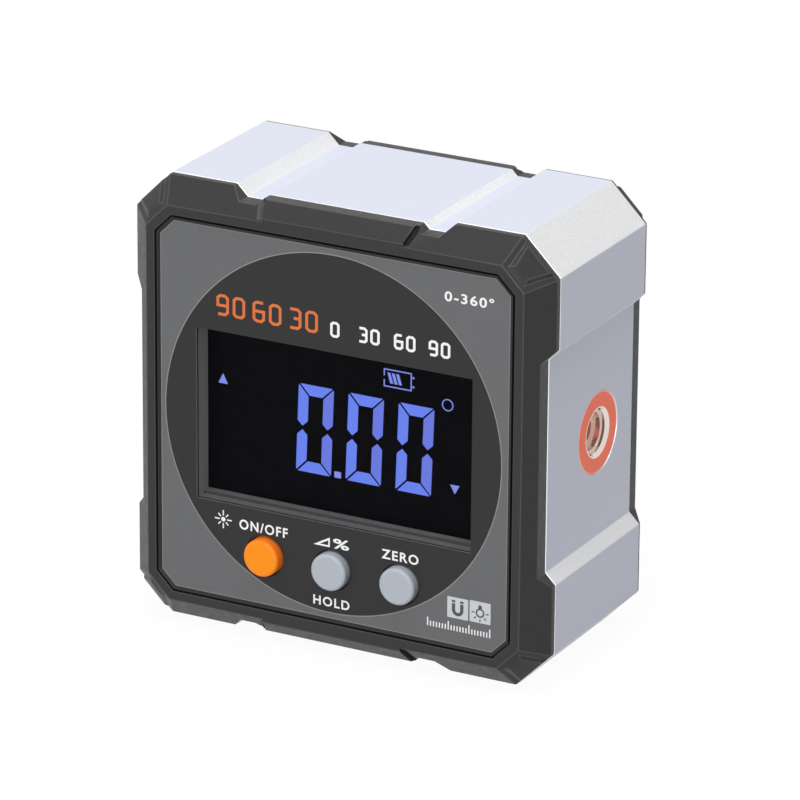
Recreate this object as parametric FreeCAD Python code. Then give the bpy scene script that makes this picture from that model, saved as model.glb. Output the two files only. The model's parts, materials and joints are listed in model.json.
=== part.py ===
"""Digital angle gauge with a laser in each side.

Every separate piece is one STEP file in parts/.  Sizes are in millimetres.  X points right, Y points
from the face to the rear cover and Z points up.  The pieces are drawn around the middle of the
aluminium frame, and export_piece moves them so that the origin lies on the base, halfway between the
fronts of the buttons and the rear face.
"""
import FreeCAD, Part
import math
import os

V = FreeCAD.Vector

# Outline of the frame, seen from the front
SIZE = 70.0                     # across opposite measuring faces
CORNER_LEG = 5.8                # leg of the 45 degree corner chamfers
LAND_INNER = 18.25              # the corner lands start this far from the middle
SIDE_RECESS = 1.7               # depth of the recess between the lands, left and right
GROOVE_DEPTH = 1.8              # depth of the grooves in the top and the bottom
MIDDLE_LAND_HALF = 12.8         # half width of the middle land, top and bottom
TOP_LAND_DROP = 0.88            # the top middle land lies this far below the corner lands
BOTTOM_LAND_DROP = 0.75         # the bottom one lies this far above the base
PLASTIC_REVEAL = 0.08           # the covers lie this far inside the frame's outline

# Depths
FRAME_DEPTH = 27.9              # aluminium frame, front to back
FRONT_STRIP = 0.8               # upright edge of the front bezel before its bevel
REAR_STRIP = 0.3                # upright edge of the rear cover before its bevel
BEVEL = 3.7                     # size of the 45 degree bevel of both covers
COVER_WALL = 1.8                # rear wall of the rear cover
WEB = 1.5                       # wall of the bezel behind the face panel
SPIGOT_LENGTH = 1.5             # the covers reach this far into the frame

# Inside of the frame
CAVITY_HALF = 30.0
CAVITY_LEG = 4.0
SPIGOT_GAP = 0.1
SPIGOT_WALL = 1.8

# Raised blocks and corner pads on the bevels
BLOCK_RIM_HALF = 11.4           # half width of the block at the rim
BLOCK_RISE = 0.55               # height of the block above the bevel, measured along Z
SLOT_START = 0.3                # the slot beside each end of the block starts this far above the rim
SLOT_END = 2.7
SLOT_WIDTH = 1.1
SLOT_DEPTH = 0.5
SLOT_LIFT = 0.6                 # the cutter reaches this far above the bevel
PAD_START = 0.55                # the foot of the pad starts this far out from the rim
PAD_HALF = 1.8                  # half width of the foot there
PAD_OUTER_HALF = 3.15           # half width of the foot at the outer edge
PAD_RISE = 0.42                 # height of the pad, measured square to the bevel
PAD_LEAN = 0.5                  # the walls lean in by this much on the way up

# Face panel, window and display
PANEL_HALF = 29.55
PANEL_LEG = 2.65
PANEL_GAP = 0.32
PANEL_THICK = 0.7
PANEL_SINK = 0.05               # the raised edge of the panel lies this far behind the rim
PANEL_EDGE = 0.12               # width of the raised edge
PANEL_SLOPE = 0.38              # width of the slope from the edge down to the flat face
PANEL_DISH = 0.3                # depth of the flat face below the edge
WINDOW_WIDTH = 46.1
WINDOW_HEIGHT = 27.1
WINDOW_Z = -0.57                # middle of the window
WINDOW_STEP = 0.6               # flange of the clear window, behind the panel
DISPLAY_SINK = 3.55             # front of the display behind the flat face of the panel
DISPLAY_LEDGE = 0.5             # lower lip of the holder in front of the display
DISPLAY_GLASS = 1.1             # thickness of each of the two glass plates
DISPLAY_EDGE = 2.0              # the front plate reaches this far past the rear one, top and bottom
HOLDER_HALF_X = 26.5
HOLDER_HALF_Z = 17.35
HOLDER_WALL = 1.2
BACKLIGHT_HALF = 24.0
CONTACT_STRIP_HALF = 23.0
CONTACT_STRIP_THICK = 1.6
WINDOW_GAP = 0.03
FIT = 0.1                       # small gap between parts that are laid into each other

# Buttons and their switches
BUTTON_PITCH = 11.45
BUTTON_Z = -21.3
BUTTON_RADIUS = 2.92
BUTTON_PROUD = 1.4
BUTTON_EDGE = 0.5               # rounding of the front edge
BUTTON_HOLE_RADIUS = 3.25       # in the face panel
BUTTON_GUIDE_RADIUS = 3.0       # in the bezel's wall, where the button slides
BUTTON_FLANGE_RADIUS = 3.7
BUTTON_FLANGE = 0.85
BUTTON_STOP_GAP = 0.05          # between the flange and the back of the bezel's wall
BUTTON_STEM_RADIUS = 1.7
SWITCH_SIDE = 6.0
SWITCH_BODY = 3.5
PLUNGER_RADIUS = 1.7
PLUNGER_PROUD = 1.5
PLUNGER_SUNK = 0.7
PLUNGER_GAP = 0.1
PLUNGER_HOLE = 1.3
FOOT_REACH = 4.2                # the switch feet reach this far from the middle
FOOT_LENGTH = 1.3
FOOT_WIDTH = 0.8
FOOT_THICK = 0.3
FOOT_PITCH = 4.0

# Circuit board
BOARD_FRONT = -9.0
BOARD_THICK = 1.6
BOARD_HALF = 27.5
BOARD_LEG = 9.0
POST_X = 21.0
POST_Z = 20.5
POST_RADIUS = 2.0
BOARD_SCREW_RADIUS = 0.75
BOARD_SCREW_LENGTH = 5.5
SMALL_HEAD_RADIUS = 1.5         # heads of the board screws and the clamp screws
SMALL_HEAD = 0.9

# Components on the rear of the board: x and z of the middle, width, height and thickness
PROCESSOR = (0.0, 1.0, 10.0, 10.0, 1.4)
TILT_SENSOR = (-10.0, 9.0, 3.0, 5.0, 1.0)
REGULATOR = (-15.0, 17.0, 3.0, 1.6, 1.1)
CRYSTAL = (12.0, 8.0, 3.2, 1.5, 0.8)
COIL = (16.0, 16.0, 4.0, 4.0, 2.0)
CAPACITOR = (1.6, 0.8, 0.8)     # width, height and thickness of a chip capacitor
CAPACITORS = 6
CAPACITOR_FIRST = -12.0         # x of the first one in the row
CAPACITOR_PITCH = 4.8
CAPACITOR_Z = -13.0

# Case screws
BOSS_OFFSET = 25.5
BOSS_RADIUS = 3.0
BOSS_MEETING = 2.0              # where the bosses of the two covers meet
BOSS_FLOOR = 1.0                # free depth beyond the end of a screw
SCREW_RADIUS = 1.0
SCREW_HEAD_RADIUS = 2.0
SCREW_HEAD = 1.3
SCREW_SEAT = 15.0
SCREW_LENGTH = 20.0
THREAD_GAP = 0.02               # a screw's thread is drawn as a plain rod in a hole this much wider
SHANK_GAP = 0.15
HEAD_GAP = 0.3
CROSS_LENGTH = 1.2              # arms of the cross recess, as parts of the head's radius
CROSS_WIDTH = 0.3

# Laser ports, one in each side
LASER_Y = 2.65
LASER_Z = -0.2
RING_OUTER = 6.3
RING_INNER = 3.95
RING_THICK = 0.5
RING_SINK = 0.1
BUSH_RADIUS = 4.5
BUSH_MOUTH = 3.75
BUSH_BORE = 3.35
BUSH_SHOULDER = 2.95
BUSH_FLANGE_RADIUS = 6.0
BUSH_FLANGE = 1.4
BARREL_RADIUS = 3.25
BUSH_CHAMFER = 0.5
BUSH_STEP = 1.1                 # depth of the narrow step in front of the barrel
BARREL_FRONT = 31.0
BARREL_BACK = 20.0
LENS_RADIUS = 2.2
LENS_THICK = 1.2
LENS_SINK = 0.6                 # the lens lies this far inside the barrel
LENS_DOME = 6.0                 # radius of the lens's front
LENS_LEDGE = 0.5
DIODE_RADIUS = 2.8
DIODE_BASE = 1.2
DIODE_CAN_RADIUS = 1.6
DIODE_LENGTH = 3.4
DRIVER_END = 14.0
DRIVER_THICK = 0.8
DRIVER_HALF = 2.4
CLAMP_FRONT = 24.0
CLAMP_LOW = 5.05                # the clamp reaches this far from the axis towards the face
CLAMP_HIGH = 6.25               # and this far towards the rear
CLAMP_HALF_Z = 10.6
CLAMP_SCREW_OFFSET = 8.4
CLAMP_SCREW_RADIUS = 0.8
CLAMP_SCREW_BITE = 2.0          # the screws reach this far into the aluminium
LEAD_RADIUS = 0.45
LEAD_INSET = 2.0
LEAD_OFFSET = 1.1

# Magnets behind the lands
MAGNET_RADIUS = 4.0
MAGNET_THICK = 3.4
MAGNET_OFFSET = 21.9

# Two AAA cells in a well behind a hinged door
CELL_RADIUS = 5.25
CELL_LENGTH = 44.5
NUB_RADIUS = 1.9
NUB_LENGTH = 0.9
CELL_X = 5.65
CELL_Y = 8.35
WELL_HALF_X = 11.3
WELL_HALF_Z = 25.4
WELL_FLOOR = 2.7
WELL_WALL = 1.5
WELL_SIDE = 2.2
CONTACT_THICK = 0.4
CONTACT_HALF = 3.6
CONTACT_LEG_HALF = 0.8
CONTACT_SPAN = 4.6              # half the length of a bowed strip
CONTACT_REST = 1.0              # flat end of a bowed strip
CONTACT_TIP = 0.8               # half the length of its flat tip
CONTACT_BRIDGE = 0.8
DOOR_HALF_X = 13.0
DOOR_HALF_Z = 27.3
DOOR_THICK = 1.25
DOOR_GAP = 0.15
DOOR_SINK = 0.05
HOOK_X = 7.0
HOOK_HALF = 2.0
HOOK_THICK = 1.1
HOOK_REACH = 1.6
HOOK_ROOT = 3.1                 # length of the hook behind the door
HOOK_ROOM = 2.8                 # depth of the slot that the hook swings in
HOOK_GAP = 0.2
LATCH_HALF = 4.0
LATCH_SLOT = 0.5
LATCH_LENGTH = 7.5
BEAK_LENGTH = 1.3
BEAK_THICK = 1.25
DOOR_RIB_Z = 12.0
DOOR_RIB_HALF_X = 9.0
DOOR_RIB_HALF = 0.6
DOOR_RIB_GAP = 0.4              # between a rib and the cells
GRIP_ROWS = 3
GRIP_FIRST = 1.6
GRIP_PITCH = 1.3
GRIP_HALF_X = 3.2
GRIP_HALF = 0.3
GRIP_DEPTH = 0.35
SCOOP_RADIUS = 5.0
SCOOP_DEPTH = 1.1

# Worked-out values
HALF = SIZE / 2
FRAME_FRONT = -FRAME_DEPTH / 2
FRAME_BACK = FRAME_DEPTH / 2
SIDE_FLOOR = HALF - SIDE_RECESS
RIM_HALF = HALF - BEVEL
RIM_LEG = CORNER_LEG - (2 - math.sqrt(2)) * BEVEL
RIM_FRONT = FRAME_FRONT - FRONT_STRIP - BEVEL
REAR_FACE = FRAME_BACK + REAR_STRIP + BEVEL
REAR_INNER = REAR_FACE - COVER_WALL
PANEL_EDGE_FRONT = RIM_FRONT + PANEL_SINK
PANEL_FRONT = PANEL_EDGE_FRONT + PANEL_DISH
WEB_FRONT = PANEL_FRONT + PANEL_THICK
WEB_BACK = WEB_FRONT + WEB
DISPLAY_FRONT = PANEL_FRONT + DISPLAY_SINK
BOARD_BACK = BOARD_FRONT + BOARD_THICK
SWITCH_FRONT = BOARD_FRONT - SWITCH_BODY
PLUNGER_FRONT = SWITCH_FRONT - PLUNGER_PROUD
SPIGOT_HALF = CAVITY_HALF - SPIGOT_GAP
SPIGOT_INNER = SPIGOT_HALF - SPIGOT_WALL
WINDOW_BOX = (
    -WINDOW_WIDTH / 2,
    WINDOW_WIDTH / 2,
    WINDOW_Z - WINDOW_HEIGHT / 2,
    WINDOW_Z + WINDOW_HEIGHT / 2,
)
POCKET_HALF_X = HOLDER_HALF_X - HOLDER_WALL
POCKET_HALF_Z = HOLDER_HALF_Z - HOLDER_WALL
RING_SEAT = SIDE_FLOOR - RING_SINK - RING_THICK
LENS_BACK = BARREL_FRONT - LENS_SINK - LENS_THICK
DOOR_BACK = REAR_FACE - DOOR_SINK
DOOR_FRONT = DOOR_BACK - DOOR_THICK
DOOR_SEAT = DOOR_FRONT - DOOR_SINK
BUTTON_FRONT = PANEL_FRONT - BUTTON_PROUD
MIDDLE_DEPTH = (BUTTON_FRONT + REAR_FACE) / 2
SIGNS = (-1, 1)
NEAR = 0.01                     # edges this close to a face count as lying on it


# Basic shapes

def box(x0, x1, y0, y1, z0, z1):
    """A block between two opposite corners."""
    return Part.makeBox(x1 - x0, y1 - y0, z1 - z0, V(x0, y0, z0))


def rod_x(y, z, radius, x0, x1):
    """A round rod along X."""
    return Part.makeCylinder(radius, abs(x1 - x0), V(min(x0, x1), y, z), V(1, 0, 0))


def rod_y(x, z, radius, y0, y1):
    """A round rod along Y."""
    return Part.makeCylinder(radius, abs(y1 - y0), V(x, min(y0, y1), z), V(0, 1, 0))


def rod_z(x, y, radius, z0, z1):
    """A round rod along Z."""
    return Part.makeCylinder(radius, abs(z1 - z0), V(x, y, min(z0, z1)), V(0, 0, 1))


def polygon(points, y):
    """A closed wire through (x, z) points at depth y."""
    corners = [V(x, y, z) for x, z in points]
    return Part.makePolygon(corners + corners[:1])


def prism(points, y0, y1):
    """A straight block along Y over an outline of (x, z) points."""
    return Part.Face(polygon(points, y0)).extrude(V(0, y1 - y0, 0))


def taper(points0, y0, points1, y1):
    """A block along Y that changes from one outline into another."""
    return Part.makeLoft([polygon(points0, y0), polygon(points1, y1)], True, True)


def strip_x(points, x0, x1):
    """A bent strip along X over a closed outline of (y, z) points."""
    corners = [V(x0, y, z) for y, z in points]
    return Part.Face(Part.makePolygon(corners + corners[:1])).extrude(V(x1 - x0, 0, 0))


def octagon(half, leg):
    """A square, 2 * half across, with 45 degree corners."""
    cut = half - leg
    quarter = [(half, cut), (cut, half)]
    points = []
    for _ in range(4):
        points += quarter
        quarter = [(-z, x) for x, z in quarter]
    return points


def octagon_inside(half, leg, step):
    """The octagon whose sides lie one step inside those of another, or outside for a negative step."""
    return octagon(half - step, leg - (2 - math.sqrt(2)) * step)


def rectangle(x0, x1, z0, z1):
    return [(x0, z0), (x1, z0), (x1, z1), (x0, z1)]


def grown(limits, amount):
    """Rectangle limits (x0, x1, z0, z1) moved outwards by an amount."""
    x0, x1, z0, z1 = limits
    return (x0 - amount, x1 + amount, z0 - amount, z1 + amount)


def joined(first, others):
    return first.fuse(others).removeSplitter()


def less(first, others):
    return first.cut(others).removeSplitter()


def mirrored(shape):
    """The same piece on the other side of the middle plane."""
    return shape.mirror(V(0, 0, 0), V(1, 0, 0))


def corner_places(x, z):
    """The four places at plus or minus x and z."""
    return [(sx * x, sz * z) for sx in SIGNS for sz in SIGNS]


# Outer form

def half_outline():
    """Right half of the frame's outline, from the bottom middle land to the top one."""
    groove = HALF - GROOVE_DEPTH
    groove_outer = LAND_INNER - GROOVE_DEPTH
    chamfer = HALF - CORNER_LEG
    side_end = LAND_INNER - SIDE_RECESS
    top_land = HALF - TOP_LAND_DROP
    top_foot = MIDDLE_LAND_HALF + GROOVE_DEPTH - TOP_LAND_DROP
    bottom_land = HALF - BOTTOM_LAND_DROP
    bottom_foot = MIDDLE_LAND_HALF + GROOVE_DEPTH - BOTTOM_LAND_DROP
    return [
        (MIDDLE_LAND_HALF, -bottom_land),
        (bottom_foot, -groove),
        (groove_outer, -groove),
        (LAND_INNER, -HALF),
        (chamfer, -HALF),
        (HALF, -chamfer),
        (HALF, -LAND_INNER),
        (SIDE_FLOOR, -side_end),
        (SIDE_FLOOR, side_end),
        (HALF, LAND_INNER),
        (HALF, chamfer),
        (chamfer, HALF),
        (LAND_INNER, HALF),
        (groove_outer, groove),
        (top_foot, groove),
        (MIDDLE_LAND_HALF, top_land),
    ]


def body_outline():
    right = half_outline()
    left = [(-x, z) for x, z in reversed(right)]
    return right + left


def cover_form(seat, strip, facing):
    """Outer form of a plastic cover: an upright edge, then a bevel up to the rim."""
    bend = seat + facing * strip
    rim = bend + facing * BEVEL
    edge = prism(octagon(HALF, CORNER_LEG), seat, bend)
    slope = taper(octagon(HALF, CORNER_LEG), bend, octagon(RIM_HALF, RIM_LEG), rim)
    outline = Part.Face(polygon(body_outline(), seat)).makeOffset2D(-PLASTIC_REVEAL, 2)
    limits = outline.extrude(V(0, facing * (strip + BEVEL), 0))
    raised = raised_blocks(bend, rim) + corner_pads(rim, facing)
    form = joined(edge, [slope] + raised).common(limits)
    return less(form, block_slots(rim, facing))


def raised_blocks(bend, rim):
    """Shallow blocks in the middle of the top and bottom bevels, wider at the outside."""
    lifted = taper(
        octagon(HALF + BLOCK_RISE, CORNER_LEG), bend,
        octagon(RIM_HALF + BLOCK_RISE, RIM_LEG), rim,
    )
    blocks = []
    for side in SIGNS:
        spread = [
            (-BLOCK_RIM_HALF, side * (RIM_HALF - BLOCK_RISE)),
            (-MIDDLE_LAND_HALF, side * HALF),
            (MIDDLE_LAND_HALF, side * HALF),
            (BLOCK_RIM_HALF, side * (RIM_HALF - BLOCK_RISE)),
        ]
        blocks.append(prism(spread, bend, rim).common(lifted))
    return blocks


def block_slots(rim, facing):
    """Cutters for the slots beside the blocks, deep at the block and running out sideways."""
    root2 = math.sqrt(2)
    spread = (MIDDLE_LAND_HALF - BLOCK_RIM_HALF) / BEVEL

    def section(reach, end, side):
        near = BLOCK_RIM_HALF + spread * reach
        far = near + SLOT_WIDTH
        corners = []
        for x, height in ((near, SLOT_LIFT), (near, -SLOT_DEPTH), (far, 0), (far, SLOT_LIFT)):
            rise = height / root2
            corners.append(V(end * x, rim - facing * (reach - rise), side * (RIM_HALF + reach + rise)))
        return Part.makePolygon(corners + corners[:1])

    return [
        Part.makeLoft([section(SLOT_START, end, side), section(SLOT_END, end, side)], True, True)
        for end, side in corner_places(1, 1)
    ]


def corner_pads(rim, facing):
    """Raised pads on the corner bevels, wider at the outer edge."""
    root2 = math.sqrt(2)
    rim_reach = (2 * RIM_HALF - RIM_LEG) / root2

    def ring(start, half, outer_half, height, sx, sz):
        corners = []
        for along, sideways in (
            (start, -half), (start, half), (BEVEL, outer_half), (BEVEL, -outer_half),
        ):
            out = rim_reach + along + height / root2
            y = rim - facing * (along - height / root2)
            corners.append(V(sx * (out + sideways) / root2, y, sz * (out - sideways) / root2))
        return Part.makePolygon(corners + corners[:1])

    pads = []
    for sx, sz in corner_places(1, 1):
        foot = ring(PAD_START, PAD_HALF, PAD_OUTER_HALF, 0, sx, sz)
        halves = (PAD_HALF - PAD_LEAN, PAD_OUTER_HALF - PAD_LEAN)
        top = ring(PAD_START + PAD_LEAN, *halves, PAD_RISE, sx, sz)
        pads.append(Part.makeLoft([foot, top], True, True))
    return pads


# Frame and magnets

def magnet_rods(radius, start, end):
    """Two rods behind each of the four measuring faces."""
    rods = []
    for offset, direction in corner_places(MAGNET_OFFSET, 1):
        rods.append(rod_x(0, offset, radius, direction * start, direction * end))
        rods.append(rod_z(offset, 0, radius, direction * start, direction * end))
    return rods


def aluminium_frame():
    ring = prism(body_outline(), FRAME_FRONT, FRAME_BACK)
    inside = CAVITY_HALF - FIT
    cutters = [prism(octagon(CAVITY_HALF, CAVITY_LEG), FRAME_FRONT, FRAME_BACK)]
    cutters += magnet_rods(MAGNET_RADIUS + FIT, inside, CAVITY_HALF + MAGNET_THICK)
    for side in SIGNS:
        bore = BUSH_RADIUS + FIT / 2
        cutters.append(rod_x(LASER_Y, LASER_Z, bore, side * inside, side * HALF))
        cutters.append(rod_x(LASER_Y, LASER_Z, RING_OUTER + FIT, side * RING_SEAT, side * HALF))
        screw_end = CAVITY_HALF + CLAMP_SCREW_BITE + FIT
        for z in clamp_screw_places():
            cutters.append(rod_x(LASER_Y, z, CLAMP_SCREW_RADIUS, side * inside, side * screw_end))
    return less(ring, cutters)


def magnets():
    return magnet_rods(MAGNET_RADIUS, CAVITY_HALF + FIT, CAVITY_HALF + MAGNET_THICK)


# Covers

def spigot(seat, facing):
    """Ring that centres a cover in the frame."""
    end = seat - facing * SPIGOT_LENGTH
    outer = prism(octagon(SPIGOT_HALF, CAVITY_LEG), seat, end)
    return outer.cut(prism(octagon(SPIGOT_INNER, CAVITY_LEG), seat, end))


def front_bezel():
    """Front cover: rim, wall behind the face panel, screw bosses and board posts."""
    form = cover_form(FRAME_FRONT, FRONT_STRIP, -1)
    form = less(form, [
        prism(octagon_inside(PANEL_HALF, PANEL_LEG, -PANEL_GAP), RIM_FRONT, WEB_FRONT),
        prism(octagon(SPIGOT_INNER, CAVITY_LEG), WEB_BACK, FRAME_FRONT),
    ])
    added = [spigot(FRAME_FRONT, -1)]
    cutters = [prism(rectangle(*WINDOW_BOX), WEB_FRONT, WEB_BACK)]
    for x, z in corner_places(BOSS_OFFSET, BOSS_OFFSET):
        added.append(rod_y(x, z, BOSS_RADIUS, WEB_BACK, BOSS_MEETING))
        screw_end = SCREW_SEAT - SCREW_LENGTH - BOSS_FLOOR
        cutters.append(rod_y(x, z, SCREW_RADIUS + THREAD_GAP, screw_end, BOSS_MEETING))
    for x, z in corner_places(POST_X, POST_Z):
        added.append(rod_y(x, z, POST_RADIUS, WEB_BACK, BOARD_FRONT))
        hole = BOARD_SCREW_RADIUS + THREAD_GAP
        cutters.append(rod_y(x, z, hole, WEB_BACK + BOSS_FLOOR, BOARD_FRONT))
    for x in button_places():
        cutters.append(rod_y(x, BUTTON_Z, BUTTON_GUIDE_RADIUS, WEB_FRONT, WEB_BACK))
    return less(joined(form, added), cutters)


def rear_cover():
    """Rear cover with the well for the cells and the seat of their door."""
    form = cover_form(FRAME_BACK, REAR_STRIP, 1)
    form = less(form, [prism(octagon(SPIGOT_INNER, CAVITY_LEG), FRAME_BACK, REAR_INNER)])
    well_x = WELL_HALF_X + WELL_SIDE
    well_z = WELL_HALF_Z + WELL_WALL
    added = [
        spigot(FRAME_BACK, 1),
        box(-well_x, well_x, WELL_FLOOR - WELL_WALL, REAR_INNER, -well_z, well_z),
    ]
    cutters = [
        box(-WELL_HALF_X, WELL_HALF_X, WELL_FLOOR, REAR_FACE, -WELL_HALF_Z, WELL_HALF_Z),
        prism(rectangle(*door_limits(DOOR_GAP)), DOOR_SEAT, REAR_FACE),
        latch_notch(),
        finger_scoop(),
    ] + hook_slots() + contact_slots()
    for x, z in corner_places(BOSS_OFFSET, BOSS_OFFSET):
        added.append(rod_y(x, z, BOSS_RADIUS, BOSS_MEETING, REAR_INNER))
        cutters.append(rod_y(x, z, SCREW_RADIUS + SHANK_GAP, BOSS_MEETING, REAR_FACE))
        cutters.append(rod_y(x, z, SCREW_HEAD_RADIUS + HEAD_GAP, SCREW_SEAT, REAR_FACE))
    return less(joined(form, added), cutters)


def door_limits(gap):
    return grown((-DOOR_HALF_X, DOOR_HALF_X, -DOOR_HALF_Z, DOOR_HALF_Z), gap)


def hook_slots():
    """Room for the door's two hooks below the lip of the cover, also while the door swings."""
    top = DOOR_FRONT + 2 * DOOR_SINK
    end = DOOR_HALF_Z + HOOK_REACH + HOOK_GAP
    half = HOOK_HALF + HOOK_GAP
    return [
        box(x - half, x + half, top - HOOK_ROOM, top, -end, -WELL_HALF_Z)
        for x in (-HOOK_X, HOOK_X)
    ]


def latch_notch():
    """Room for the thick end of the door's latch."""
    half = LATCH_HALF + 1
    deep = DOOR_FRONT - BEAK_THICK - HOOK_GAP
    return box(-half, half, deep, DOOR_FRONT, WELL_HALF_Z, DOOR_HALF_Z + DOOR_GAP)


def finger_scoop():
    """Rounded hollow above the door, where a fingertip reaches the latch."""
    centre = V(0, REAR_FACE + SCOOP_RADIUS - SCOOP_DEPTH, DOOR_HALF_Z)
    return Part.makeSphere(SCOOP_RADIUS, centre)


def contact_slots():
    """Slots in the well's floor for the legs of the two upper contacts."""
    floor = WELL_FLOOR - WELL_WALL
    half = CONTACT_LEG_HALF + FIT
    return [
        box(x - half, x + half, floor, WELL_FLOOR, WELL_HALF_Z - CONTACT_THICK - FIT, WELL_HALF_Z)
        for x in (-CELL_X, CELL_X)
    ]


def battery_door():
    """Door with two hooks at the bottom and a springy latch at the top."""
    plate = prism(rectangle(*door_limits(0)), DOOR_FRONT, DOOR_BACK)
    rib_front = CELL_Y + CELL_RADIUS + DOOR_RIB_GAP
    added = [latch_beak()]
    for z in (-DOOR_RIB_Z, DOOR_RIB_Z):
        added.append(box(
            -DOOR_RIB_HALF_X, DOOR_RIB_HALF_X, rib_front, DOOR_FRONT,
            z - DOOR_RIB_HALF, z + DOOR_RIB_HALF,
        ))
    hook_end = -DOOR_HALF_Z - HOOK_REACH
    cutters = []
    for side in SIGNS:
        x = side * HOOK_X
        added.append(box(
            x - HOOK_HALF, x + HOOK_HALF, DOOR_FRONT - HOOK_THICK, DOOR_FRONT,
            hook_end, -DOOR_HALF_Z + HOOK_ROOT,
        ))
        slot = side * (LATCH_HALF + LATCH_SLOT / 2)
        cutters.append(box(
            slot - LATCH_SLOT / 2, slot + LATCH_SLOT / 2, DOOR_FRONT - BEAK_THICK, DOOR_BACK,
            DOOR_HALF_Z - LATCH_LENGTH, DOOR_HALF_Z,
        ))
    for row in range(GRIP_ROWS):
        z = DOOR_HALF_Z - GRIP_FIRST - GRIP_PITCH * row
        cutters.append(box(
            -GRIP_HALF_X, GRIP_HALF_X, DOOR_BACK - GRIP_DEPTH, DOOR_BACK,
            z - GRIP_HALF, z + GRIP_HALF,
        ))
    return less(joined(plate, added), cutters)


def latch_beak():
    """Thick end of the latch, drawn just clear of the cover that it clips under."""
    return box(
        -LATCH_HALF, LATCH_HALF, DOOR_FRONT - BEAK_THICK, DOOR_FRONT,
        DOOR_HALF_Z - BEAK_LENGTH, DOOR_HALF_Z,
    )


# Face panel, window and display

def face_panel():
    """Printed plate with a slightly raised edge, laid into the bezel."""
    plate = prism(octagon(PANEL_HALF, PANEL_LEG), PANEL_EDGE_FRONT, WEB_FRONT)
    dish = taper(
        octagon_inside(PANEL_HALF, PANEL_LEG, PANEL_EDGE), PANEL_EDGE_FRONT,
        octagon_inside(PANEL_HALF, PANEL_LEG, PANEL_EDGE + PANEL_SLOPE), PANEL_FRONT,
    )
    middle = PANEL_FRONT + PANEL_THICK / 2
    cutters = [
        dish,
        prism(rectangle(*WINDOW_BOX), PANEL_FRONT, WEB_FRONT),
        prism(rectangle(*grown(WINDOW_BOX, WINDOW_STEP)), middle, WEB_FRONT),
    ]
    for x in button_places():
        cutters.append(rod_y(x, BUTTON_Z, BUTTON_HOLE_RADIUS, PANEL_FRONT, WEB_FRONT))
    return less(plate, cutters)


def display_window():
    """Clear window, held by its flange between the panel and the bezel."""
    middle = PANEL_FRONT + PANEL_THICK / 2 + WINDOW_GAP
    front_limits = grown(WINDOW_BOX, -WINDOW_GAP)
    flange_limits = grown(WINDOW_BOX, WINDOW_STEP - WINDOW_GAP)
    front = prism(rectangle(*front_limits), PANEL_FRONT + WINDOW_GAP, middle)
    return joined(front, [prism(rectangle(*flange_limits), middle, WEB_FRONT)])


def display_holder():
    """Frame between the bezel and the board that boxes in the display."""
    x0, x1, z0, z1 = WINDOW_BOX
    block = box(-HOLDER_HALF_X, HOLDER_HALF_X, WEB_BACK, BOARD_FRONT, -HOLDER_HALF_Z, HOLDER_HALF_Z)
    return less(block, [
        box(x0, x1, WEB_BACK, DISPLAY_FRONT, z0 + DISPLAY_LEDGE, z1),
        box(-POCKET_HALF_X, POCKET_HALF_X, DISPLAY_FRONT, BOARD_FRONT, -POCKET_HALF_Z, POCKET_HALF_Z),
    ])


def display_glass():
    """Two glass plates, the rear one shorter to bare the contact edges of the front one."""
    half_x = POCKET_HALF_X - FIT
    half_z = POCKET_HALF_Z - FIT
    rear_z = half_z - DISPLAY_EDGE
    middle = DISPLAY_FRONT + DISPLAY_GLASS
    front = box(-half_x, half_x, DISPLAY_FRONT, middle, -half_z, half_z)
    rear = box(-half_x, half_x, middle, middle + DISPLAY_GLASS, -rear_z, rear_z)
    return joined(front, [rear])


def backlight():
    front = DISPLAY_FRONT + 2 * DISPLAY_GLASS
    half_z = POCKET_HALF_Z - DISPLAY_EDGE - 3 * FIT
    return box(-BACKLIGHT_HALF, BACKLIGHT_HALF, front, BOARD_FRONT, -half_z, half_z)


def contact_strips():
    """Soft striped connectors between the display's contact edges and the board."""
    outer = POCKET_HALF_Z - 2 * FIT
    return [
        box(
            -CONTACT_STRIP_HALF, CONTACT_STRIP_HALF, DISPLAY_FRONT + DISPLAY_GLASS, BOARD_FRONT,
            z, z + CONTACT_STRIP_THICK,
        )
        for z in (-outer, outer - CONTACT_STRIP_THICK)
    ]


# Buttons and switches

def button_places():
    return (-BUTTON_PITCH, 0.0, BUTTON_PITCH)


def button_cap(x):
    """Cap with a rounded front edge, a stop flange and a stem to the switch."""
    flange = WEB_BACK + BUTTON_STOP_GAP
    cap = rod_y(x, BUTTON_Z, BUTTON_RADIUS, BUTTON_FRONT, flange)
    rim = [edge for edge in cap.Edges if edge.BoundBox.YMax < BUTTON_FRONT + NEAR]
    cap = cap.makeFillet(BUTTON_EDGE, rim)
    return joined(cap, [
        rod_y(x, BUTTON_Z, BUTTON_FLANGE_RADIUS, flange, flange + BUTTON_FLANGE),
        rod_y(x, BUTTON_Z, BUTTON_STEM_RADIUS, flange, PLUNGER_FRONT),
    ])


def switch_plunger(x):
    return rod_y(x, BUTTON_Z, PLUNGER_RADIUS, PLUNGER_FRONT, SWITCH_FRONT + PLUNGER_SUNK)


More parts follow.
